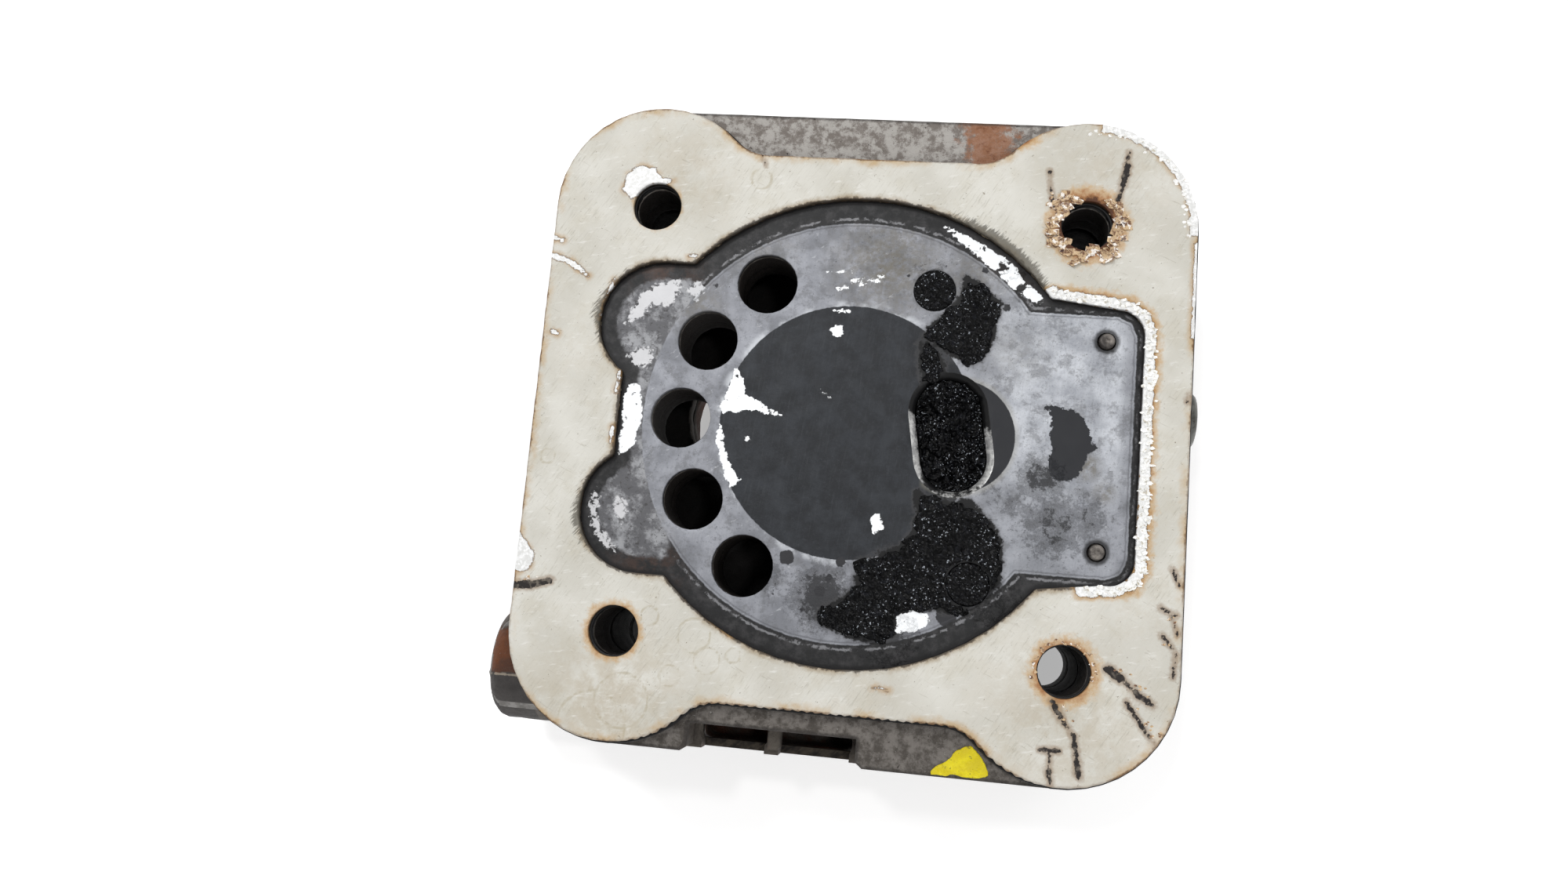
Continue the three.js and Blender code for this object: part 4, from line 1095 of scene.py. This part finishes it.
torn = Shell()
upper_bolt = arc_path(*BOLTS[0], 6.4, range(110, 416, 6))
flake_heap(torn, along_path(upper_bolt, 0.42, 0.75, 12), 2.3, 13, GASKET_TOP + 0.15, 0.4)
flake_heap(torn, along_path([(35.4, 50), (36.5, 46)], 0.4, 0.3, 14), 1.0, 15, GASKET_TOP + 0.05, 0.3)
lower_bolt = arc_path(*BOLTS[3], 5.6, range(-20, 200, 8))
flake_heap(torn, along_path(lower_bolt, 0.7, 0.25, 21), 0.8, 22, GASKET_TOP + 0.05, 0.4)
BURNT_TEARS = [
    [(52, -41.6), (55, -43.8), (58.6, -46.4)], [(56.4, -48.4), (59.4, -51.8), (61, -53.8)],
    [(42.6, -49), (45, -52)], [(60.6, -30.6), (62.8, -32.4)], [(61.2, -36), (62.4, -38)],
    [(-62, -34.6), (-59, -34.2)],
]
for seed, path in enumerate(BURNT_TEARS, 30):
    flake_heap(torn, along_path(path, 0.8, 0.5, seed), 0.7, seed + 20, GASKET_TOP + 0.04, 0.3)
finish_piece(torn.build("torn_coat", [torn_material()], smooth=False), "coated_gasket")


# ---------------------------------------------------------------- the valve plate

RIM_Z = -9.0
# The web in the front window: two opposite corners. The window lies in front of WINDOW_Y.
WEB = (-12.0, -63.4, PLATE_BOTTOM + 0.4), (-9.8, -58.8, -7.0)
WINDOW_Y = -58
# Area of the smallest opening that goes right through the plate.
SMALLEST_OPENING = 25
PAD_PITCH, LEDGE_PITCH, BOTTOM_PITCH = 0.8, 1.1, 1.4
SLOT_R, SLOT_HALF, SLOT_CHAMFER = 6.55, 4.6, 1.1
SLOT_CENTRE, SLOT_TILT = (19.4, 0.2), math.radians(10)
SLOT_WALL_END = -6.4
# Heights of the rows on the slot's wall, above its end.
SLOT_WALL_ROWS = (5.3, 4.2, 3.2, 2.1, 1.0, 0.0)


def on_discharge_line(across, along):
    """Place of a point given beside and along the slanted discharge line."""
    c, s = math.cos(SLOT_TILT), math.sin(SLOT_TILT)
    return SLOT_CENTRE[0] + across * c - along * s, SLOT_CENTRE[1] + across * s + along * c


STADIUM_STEPS = 48


def stadium(r, half):
    """A slot outline and its outward directions, along the discharge line."""
    places, outward = [], []
    for end in (1, -1):
        for k in range(STADIUM_STEPS + 1):
            t = math.pi * k / STADIUM_STEPS + (0 if end == 1 else math.pi)
            places.append(on_discharge_line(r * math.cos(t), end * half + r * math.sin(t)))
            outward.append((math.cos(t + SLOT_TILT), math.sin(t + SLOT_TILT)))
    return np.array(places), np.array(outward)


def swept_ring(shell, profile, r, half, slot):
    """A closed ring round the slot from [offset, height] pairs of its section."""
    places, outward = stadium(r, half)
    count, rows = len(places), len(profile)
    points = [np.column_stack([places + outward * offset, np.full(count, z)]) for offset, z in profile]
    faces = []
    for row in range(rows):
        for k in range(count):
            a, b = row * count + k, row * count + (k + 1) % count
            c, d = ((row + 1) % rows) * count + (k + 1) % count, ((row + 1) % rows) * count + k
            faces.append((a, b, c, d))
    shell.add(np.concatenate(points), faces, slot)


def plate_fields(points):
    x, y, z = points.T
    inside = -loop_distance(pocket_loop, x, y)
    # Painted reflection: where the lamp's glare is painted on the plate.
    glare_share = ramp(x, 20, 32) * (0.2 + 0.8 * ramp(y, -13, -1))
    glare_share *= 1 - 0.8 * ramp(x, 50.5, 52.5)
    lobe = ramp(inside, 2.4, 4.2) * ramp(x, -33, -35)
    holes = [loop_distance(loop, x, y) for loop in pad_loops[1:]]
    in_hole = (np.minimum.reduce(holes) < 0.05) & (z < -0.25)
    in_slot = loop_distance(stadium(SLOT_R, SLOT_HALF)[0], x, y)
    # Soot and painted shade in the slot: dark at its ends and left side, and painted shade deepening with
    # depth.
    soot_and_shade = ramp(y, 3.5, 5.5) + 0.5 * ramp(y, -7.5, -9.5)
    soot_and_shade += 0.55 * ramp(z, -1.6, -5.1)
    soot_and_shade += 0.5 * ramp(x, 19, 15) * ramp(in_slot, 1, 0)
    pins = np.minimum.reduce([disc_distance(x, y, *pin, REED_PIN_HALO) for pin in REED_PINS])
    arc_specks = np.minimum.reduce([disc_distance(x, y, *speck) for speck in ARC_SPECKS])
    return {
        "glare_share": glare_share, "haze": blots(HAZE, x, y), "disc": disc_distance(x, y, *REED_DISC_PRINT),
        "small_disc": np.maximum(disc_distance(x, y, *SMALL_DISC_PRINT), SMALL_DISC_LEFT - x),
        "soot": loop_distance(SMOOTH_SOOT, x, y),
        "spots": np.minimum.reduce([disc_distance(x, y, *spot) for spot in SPOTS]),
        "burnt": shapes_distance([outline(corners) for corners in CARBON.values()], x, y),
        "print": reed_print(x, y), "lobe": lobe, "gap": np.minimum(inside, pins), "oily": blots(OILY, x, y),
        "pale": shapes_distance(PALE, x, y),
        "bare": np.maximum(shapes_distance(BARE, x, y), -arc_specks),
        "browned": blots(BROWNED, x, y),
        "wall": in_hole.astype(float), "soot_and_shade": soot_and_shade,
    }


def ledge_fields(points):
    x, y, z = points.T
    holes = np.minimum.reduce([loop_distance(loop, x, y) for loop in plate_low[1:]])
    outside = loop_distance(ledge_outer, x, y)
    return {
        "back": ramp(y, 40, 45),
        "rust_patch": ramp(np.abs(x - 23), 10.8, 1.8) * ramp(y, 50, 53),
        "side": ((z < LEDGE_Z - 0.45) & (outside > -0.6)).astype(float),
        "outer_edge": -outside,
        "bore": ((holes < 0.3) & (z < LEDGE_Z - 0.3) & (outside < -1)).astype(float),
    }


def brick(shell, low, high, pitch, wobble):
    """A closed block of even quads with lightly worn faces."""
    size = [max(1, int(math.ceil((b - a) / pitch))) for a, b in zip(low, high)]
    key_of, points, faces = {}, [], []

    def corner_at(key):
        if key not in key_of:
            key_of[key] = len(points)
            points.append([a + (b - a) * n / m for a, b, n, m in zip(low, high, key, size)])
        return key_of[key]

    for axis in range(3):
        u, v = (axis + 1) % 3, (axis + 2) % 3
        for end in (0, size[axis]):
            for p in range(size[u]):
                for q in range(size[v]):
                    ring = []
                    for dp, dq in ((0, 0), (1, 0), (1, 1), (0, 1)):
                        at = [0, 0, 0]
                        at[axis], at[u], at[v] = end, p + dp, q + dq
                        ring.append(corner_at(tuple(at)))
                    faces.append(ring if end else ring[::-1])
    places = np.array(points)
    x, y, z = places.T
    for axis in range(3):
        places[:, axis] += wobble * rough(x, y, z, 2.5, 2, 20 + axis)
    shell.add(places, faces)


pad = Shell()
slab(pad, pad_loops[0], pad_loops[1:], 0.0, LEDGE_Z - 0.2, PAD_PITCH, ease=(0.3, 0.15))
wall_rows = [(-SLOT_CHAMFER - 0.05, SLOT_WALL_END + step) for step in SLOT_WALL_ROWS]
swept_ring(pad, [(0.35, -0.02), (0.02, 0.0), (-SLOT_CHAMFER * 0.5, -SLOT_CHAMFER * 0.5)] + wall_rows
           + [(0.3, SLOT_WALL_END)], SLOT_R + SLOT_CHAMFER, SLOT_HALF, 2)
pad_fields = plate_fields(pad.all_points())
base = Shell()
through_loops = [loop for loop in plate_low[1:] if abs(loop_area(loop)) > SMALLEST_OPENING]
not_window = [loop for loop in through_loops if loop[:, 1].mean() > WINDOW_Y]
slab(base, ledge_outer, not_window, LEDGE_Z, RIM_Z - 0.2, LEDGE_PITCH, ease=(0.35, 0.1),
     lift=lambda x, y: 0.1 * rough(x, y, 0 * x, 3.4, 3, 9))
slab(base, plate_low[0][::-1], through_loops, RIM_Z, PLATE_BOTTOM, BOTTOM_PITCH, ease=(0.3, 0.1),
     lift=lambda x, y: 0.12 * rough(x, y, 0 * x, 2.4, 3, 12))
brick(base, *WEB, 0.5, 0.12)
base_fields = ledge_fields(base.all_points())

plate = Shell()
for part, ledge_slot in ((pad, None), (base, 1)):
    plate.points.extend(part.points)
    plate.faces.extend([tuple(i + plate.count for i in face) for face in part.faces])
    plate.slots.extend(part.slots if ledge_slot is None else [ledge_slot] * len(part.faces))
    plate.count += part.count
fields = {}
for key in list(pad_fields) + list(base_fields):
    fields[key] = np.concatenate([pad_fields.get(key, np.zeros(pad.count)),
                                  base_fields.get(key, np.zeros(base.count))])
plate_paints = [plate_material(), ledge_material(), slot_rim_material()]
finish_piece(plate.build("machined_valve_plate", plate_paints, fields), "machined_iron", "valve_plate")


# ---------------------------------------------------------------- carbon and paint


def lumps(x, y, size, depth, seed):
    """Rounded crumbs of burnt oil."""
    coarse = rough(x, y, 0 * x, size * 3, 3, seed)
    fine = np.abs(grain(x, y, 0 * x, size, seed + 5)) + 0.6 * np.abs(grain(x, y, 0 * x, size / 2, seed + 6))
    return depth * (0.45 * coarse + 0.7 * fine)


def facing_up(corners):
    loop = outline(corners)
    return loop if loop_area(loop) > 0 else loop[::-1]


CARBON_PITCH = 0.3
CARBON_TOP = 0.2


def carbon_patch(name, corners, seed, holes):
    shell = Shell()
    slab(shell, facing_up(corners), holes, CARBON_TOP, -0.25, CARBON_PITCH, ease=(0.16, 0.1),
         ragged=lambda x, y: 1.2 * rough(x, y, 0 * x, 2.4, 4, seed),
         lift=lambda x, y: lumps(x, y, 1.1, 0.62, seed) - 0.05)
    finish_piece(shell.build(name, [BLACK]), "machined_iron")


lower_screw = SCREW_ENDS["stop_screw_lower"]
screw_gap = [circle(lower_screw.x, lower_screw.y, 4.7)]
for number, (name, corners) in enumerate(CARBON.items()):
    carbon_patch(name, corners, 30 + 7 * number, screw_gap if name == "carbon_patch_lower" else [])

for name, depth, top in (("stop_screw_upper", 0.55, 0.02), ("stop_screw_lower", 0.3, -0.12)):
    centre = SCREW_ENDS[name]
    shell = Shell()
    slab(shell, circle(centre.x, centre.y, 4.15), [], top, -1.2, CARBON_PITCH, ease=(0.3, 0.1),
         lift=lambda x, y: lumps(x, y, 1.0, depth, 91))
    finish_piece(shell.build(name + "_carbon", [BLACK]), "fastener_steel")

filler = Shell()
slot_line = stadium(SLOT_R - 0.1, SLOT_HALF)[0]
slab(filler, slot_line, [], -4.6, -9.5, CARBON_PITCH, ease=(0.3, 0.1),
     lift=lambda x, y: lumps(x, y, 1.3, 1.9, 77) + 1.1 * grain(x, y, 0 * x, 5, 78)
     + 0.6 * np.clip(1.6 - np.abs(loop_distance(slot_line, x, y)), 0, 2)
     + 1.6 * ramp(y, 5, 8))
finish_piece(filler.build("carbon_in_slot", [BLACK]), "machined_iron")

blob = Shell()
slab(blob, facing_up(YELLOW_PAINT), [], LEDGE_Z + 0.22, LEDGE_Z - 0.4, 0.35, ease=(0.15, 0.1),
     ragged=lambda x, y: 0.3 * rough(x, y, 0 * x, 1.8, 3, 55),
     lift=lambda x, y: 0.08 * rough(x, y, 0 * x, 2.0, 3, 56))
finish_piece(blob.build("yellow_paint", [paint_material()]), "cast_iron")


# ---------------------------------------------------------------- castings below the plate

# Coolant bosses: where the axis starts, direction, length and bore radius.
INLET = {"centre": (-54.0, -52.1, -23.4), "axis": (-1, 0, 0), "reach": 18.3, "bore": 7.2}
OUTLET = {"centre": (31.0, 55.0, -23.4), "axis": (0, 1, 0), "reach": 13.5, "bore": 7.2}


BOSS_R = 13
# The inlet boss's parting line, beside its axis.
PARTING_Y = -2.1
# Height of the coolant space's middle, and half its height.
COOLANT_MIDDLE, COOLANT_HALF = -21, 6.4
# A value for seam that is far from any seam.
NO_SEAM = 9.0


def snap_bore(points, normals, cx, cy, r):
    """Brings the wall of an upright bore back to its true radius."""
    dx, dy = points[:, 0] - cx, points[:, 1] - cy
    far = np.hypot(dx, dy)
    on = (np.abs(far - r) < 0.9) & (np.abs(normals[:, 2]) < 0.75)
    points[on, 0] = cx + dx[on] / far[on] * r
    points[on, 1] = cy + dy[on] / far[on] * r
    return on


def casting(name, node, voxel, flats, seed, bosses=()):
    """A sand-cast copy of a node: rough outside, true at its machined faces and bores."""
    points, faces = cast_copy(node, voxel)
    normals = surface_normals(points, faces)
    machined = np.zeros(len(points), bool)
    for level in flats:
        machined |= (np.abs(points[:, 2] - level) < 0.6) & (np.abs(normals[:, 2]) > 0.6)
    bore = np.zeros(len(points), bool)
    for bx, by in BOLTS:
        bore |= snap_bore(points, normals, bx, by, BOLT_R)
    boss_underside_shade = np.zeros(len(points))
    seam = np.full(len(points), NO_SEAM)
    for boss in bosses:
        away = points - np.array(boss["centre"])
        axis = np.array(boss["axis"])
        along = away @ axis
        across = np.linalg.norm(away - along[:, None] * axis, axis=1)
        near = (along > -1) & (across < BOSS_R)
        bore |= near & (across < boss["bore"] + 0.5)
        machined |= near & (along > boss["reach"] - 0.7)
        # Painted shade: the inlet boss's half below its parting line is marked for dark grey.
        if boss is INLET:
            boss_underside_shade = np.where(near & (away[:, 1] < PARTING_Y) & (along > 8), 1.0, boss_underside_shade)
            seam = np.where(near & (along > 8), np.abs(away[:, 1] - PARTING_Y), seam)
    x, y, z = points.T
    swell = 0.1 * rough(x, y, z, 2.6, 2, seed) + 0.16 * rough(x, y, z, 12, 2, seed + 3)
    swell = np.where(machined | bore, 0.0, swell) + 0.3 * ramp(seam, 0.8, 0)
    points = points + normals * swell[:, None]
    # Painted shade: the hollow coolant space is marked like a bore, to be painted near black.
    bore |= (loop_distance(ledge_outer, x, y) < -4) & (np.abs(z - COOLANT_MIDDLE) < COOLANT_HALF)
    rust = 0.5 + 0.5 * rough(x, y, z, 22, 2, seed + 6)
    rust = np.where((seam < NO_SEAM) & (boss_underside_shade < 0.5), rust + 0.55, rust)
    shell = Shell()
    shell.add(points, faces)
    count = len(points)
    for boss in bosses:
        turns = int(boss["reach"] / 1.25) - 1
        rows = [(boss["bore"] - (0.1 if k % 2 else 0.75), 1.4 + 0.62 * k) for k in range(2 * turns)]
        rows.append((boss["bore"] + 0.3, rows[-1][1]))
        rows.append((boss["bore"] + 0.3, rows[0][1]))
        turned(shell, boss["centre"], boss["axis"], rows, steps=64, loop=True)
    extra = shell.count - count
    fields = {"machined": machined, "bore": bore, "boss_underside_shade": boss_underside_shade, "seam": seam, "rust_patch": rust}
    fields = {key: np.concatenate([values.astype(float), np.zeros(extra)])
              for key, values in fields.items()}
    # The boss threads get part of the bores' painted shade.
    fields["bore"][count:] = 0.6
    fields["seam"][count:] = NO_SEAM
    return finish_piece(shell.build(name, [IRON], fields), "cast_iron", node)


casting("cast_head_body", "head_body", 0.9, (-15.0, -31.6), 60, (INLET, OUTLET))
casting("cast_top_cover", "top_cover", 0.95, (-32.6, -41.0), 80)


# ---------------------------------------------------------------- screws, pins and plug


def turned_piece(node, centre, axis, rows, material, slot, wear=0.015):
    """A turned stand-in for a node, lightly worn."""
    shell = Shell()
    turned(shell, centre, axis, rows)
    worn(shell, wear, 1.2, 40)
    finish_piece(shell.build("turned_" + node, [material]), slot, node)


def upright_piece(node, rows, material, wear=0.015):
    """A turned piece on the upright axis through the middle of its node."""
    centre = middle(node)
    turned_piece(node, (centre.x, centre.y, 0), (0, 0, 1), rows, material, "fastener_steel", wear)


STOP_SCREW_ROWS = [
    (0, -25.3), (5.7, -25.3), (6.5, -24.8, "hex"), (6.5, -21.0, "hex"), (6.1, -20.8), (3.9, -20.8),
    (3.9, -12), (3.9, -0.7), (3.4, -0.2), (2.2, -0.25), (0, -0.25)]
COVER_SCREW_HEAD = [
    (0, -36.6, "hex"), (2.5, -36.6, "hex"), (2.5, -38.3, "hex"), (2.9, -38.6), (4.5, -38.6), (4.9, -38.2),
    (4.9, -35.4), (4.7, -35.1), (3.0, -35.1)]
COVER_SCREW_THREAD = [(3.0 if k % 2 else 2.75, -33.0 + 0.5 * k) for k in range(24)]
COVER_SCREW_TIP = [(2.5, -20.6), (0, -20.5)]
PIN_ROWS = [
    (0, -8), (1.3, -8), (1.5, -7.7), (1.5, -0.8), (1.5, 0.5), (1.4, 0.76), (1.15, 0.9), (0.7, 0.88),
    (0.5, 0.7), (0, 0.55)]

for node in SCREW_ENDS:
    upright_piece(node, STOP_SCREW_ROWS, STEEL)
for node in sorted(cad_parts):
    if node.startswith("cover_screw"):
        upright_piece(node, COVER_SCREW_HEAD + COVER_SCREW_THREAD + COVER_SCREW_TIP, STEEL)
for node in ("reed_pin_upper", "reed_pin_lower"):
    upright_piece(node, PIN_ROWS, PIN, 0.03)

PLUG_ROWS = [
    (0, 50), (3.4, 50), (4, 50.6), (4, 65.6), (5.6, 65.6), (6, 65.9), (6, 68.4), (5.3, 69.1), (4.4, 69.2),
    (3.3, 69.2), (3, 69.0, "hex"), (3, 67.2, "hex"), (0, 67.2, "hex")]
turned_piece("side_plug", (0, 9.8, -22), (1, 0, 0), PLUG_ROWS, PLUG, "plug_steel")

CARRIED = {
    "plate_gasket": (FIBRE, "fibre_gasket"), "cover_gasket": (FIBRE, "fibre_gasket"),
    "discharge_reed": (SPRING, "spring_steel"), "discharge_stop": (STEEL, "fastener_steel"),
    "locating_dowel_left": (STEEL, "fastener_steel"), "locating_dowel_right": (STEEL, "fastener_steel"),
    "stop_washer_upper": (COPPER, "copper"), "stop_washer_lower": (COPPER, "copper"),
    "side_plug_washer": (COPPER, "copper"),
}
for node, (material, slot_name) in CARRIED.items():
    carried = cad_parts[node]
    carried.data.materials.clear()
    carried.data.materials.append(material)


# ---------------------------------------------------------------- camera, floor and light

CAMERA_PLACE = (15.854, -35.364, 229.465)
# Turns about X, Y and Z, in degrees, of a camera that first looks straight down.
CAMERA_TURNS = (8.4808, 6.4612, 4.9582)
CAMERA_LENS = 27.203

camera_data = bpy.data.cameras.new("camera")
camera_data.lens = CAMERA_LENS
camera_data.sensor_width = 36
camera_data.clip_start, camera_data.clip_end = 0.01, 10
camera = new_object("camera", camera_data)
turns = Euler([math.radians(turn) for turn in CAMERA_TURNS])
camera.matrix_world = Matrix.LocRotScale(Vector(CAMERA_PLACE) * MM, turns, None)
bpy.context.scene.camera = camera
bpy.context.scene.view_settings.view_transform = "Standard"

FLOOR_HALF = 3.0
floor_mesh = bpy.data.meshes.new("floor")
floor_z = cad_box[0].z
floor_corners = [(x * FLOOR_HALF, y * FLOOR_HALF, floor_z) for x, y in ((-1, -1), (1, -1), (1, 1), (-1, 1))]
floor_mesh.from_pydata(floor_corners, [], [(0, 1, 2, 3)])
floor = new_object("floor", floor_mesh)
floor_paint = bpy.data.materials.new("floor")
floor_paint.use_nodes = True
floor_shader = floor_paint.node_tree.nodes["Principled BSDF"]
floor_shader.inputs["Base Color"].default_value = (0.9, 0.9, 0.9, 1)
floor_shader.inputs["Roughness"].default_value = 0.9
floor_shader.inputs["Emission Color"].default_value = (1, 1, 1, 1)
floor_shader.inputs["Emission Strength"].default_value = 0.42
floor_mesh.materials.append(floor_paint)

world = bpy.data.worlds.new("studio")
world.use_nodes = True
world_nodes = world.node_tree.nodes
direction = world_nodes.new("ShaderNodeTexCoord")
upward = world_nodes.new("ShaderNodeSeparateXYZ")
fade = world_nodes.new("ShaderNodeMapRange")
fade.inputs["To Min"].default_value = 0.7
fade.inputs["To Max"].default_value = 0.3
world.node_tree.links.new(direction.outputs["Generated"], upward.inputs[0])
world.node_tree.links.new(upward.outputs["Z"], fade.inputs["Value"])
world.node_tree.links.new(fade.outputs[0], world_nodes["Background"].inputs["Strength"])
world_nodes["Background"].inputs["Color"].default_value = (1, 1, 1, 1)
bpy.context.scene.world = world


def soft_light(name, place, size, power):
    light = bpy.data.lights.new(name, "AREA")
    light.shape = "DISK"
    light.size = size
    light.energy = power
    lamp = new_object(name, light)
    lamp.location = place
    lamp.rotation_mode = "QUATERNION"
    lamp.rotation_quaternion = (-Vector(place)).to_track_quat("-Z", "Y")


soft_light("key", (-0.35, 0.45, 0.75), 0.24, 3.0)
soft_light("fill", (0.5, -0.5, 0.7), 0.6, 1.6)
soft_light("rim", (0.6, 0.55, 0.4), 0.4, 0.8)
soft_light("glint_left", (-0.12, 0.2, 0.75), 0.07, 0.7)
soft_light("glint_right", (0.22, -0.02, 0.75), 0.07, 0.7)
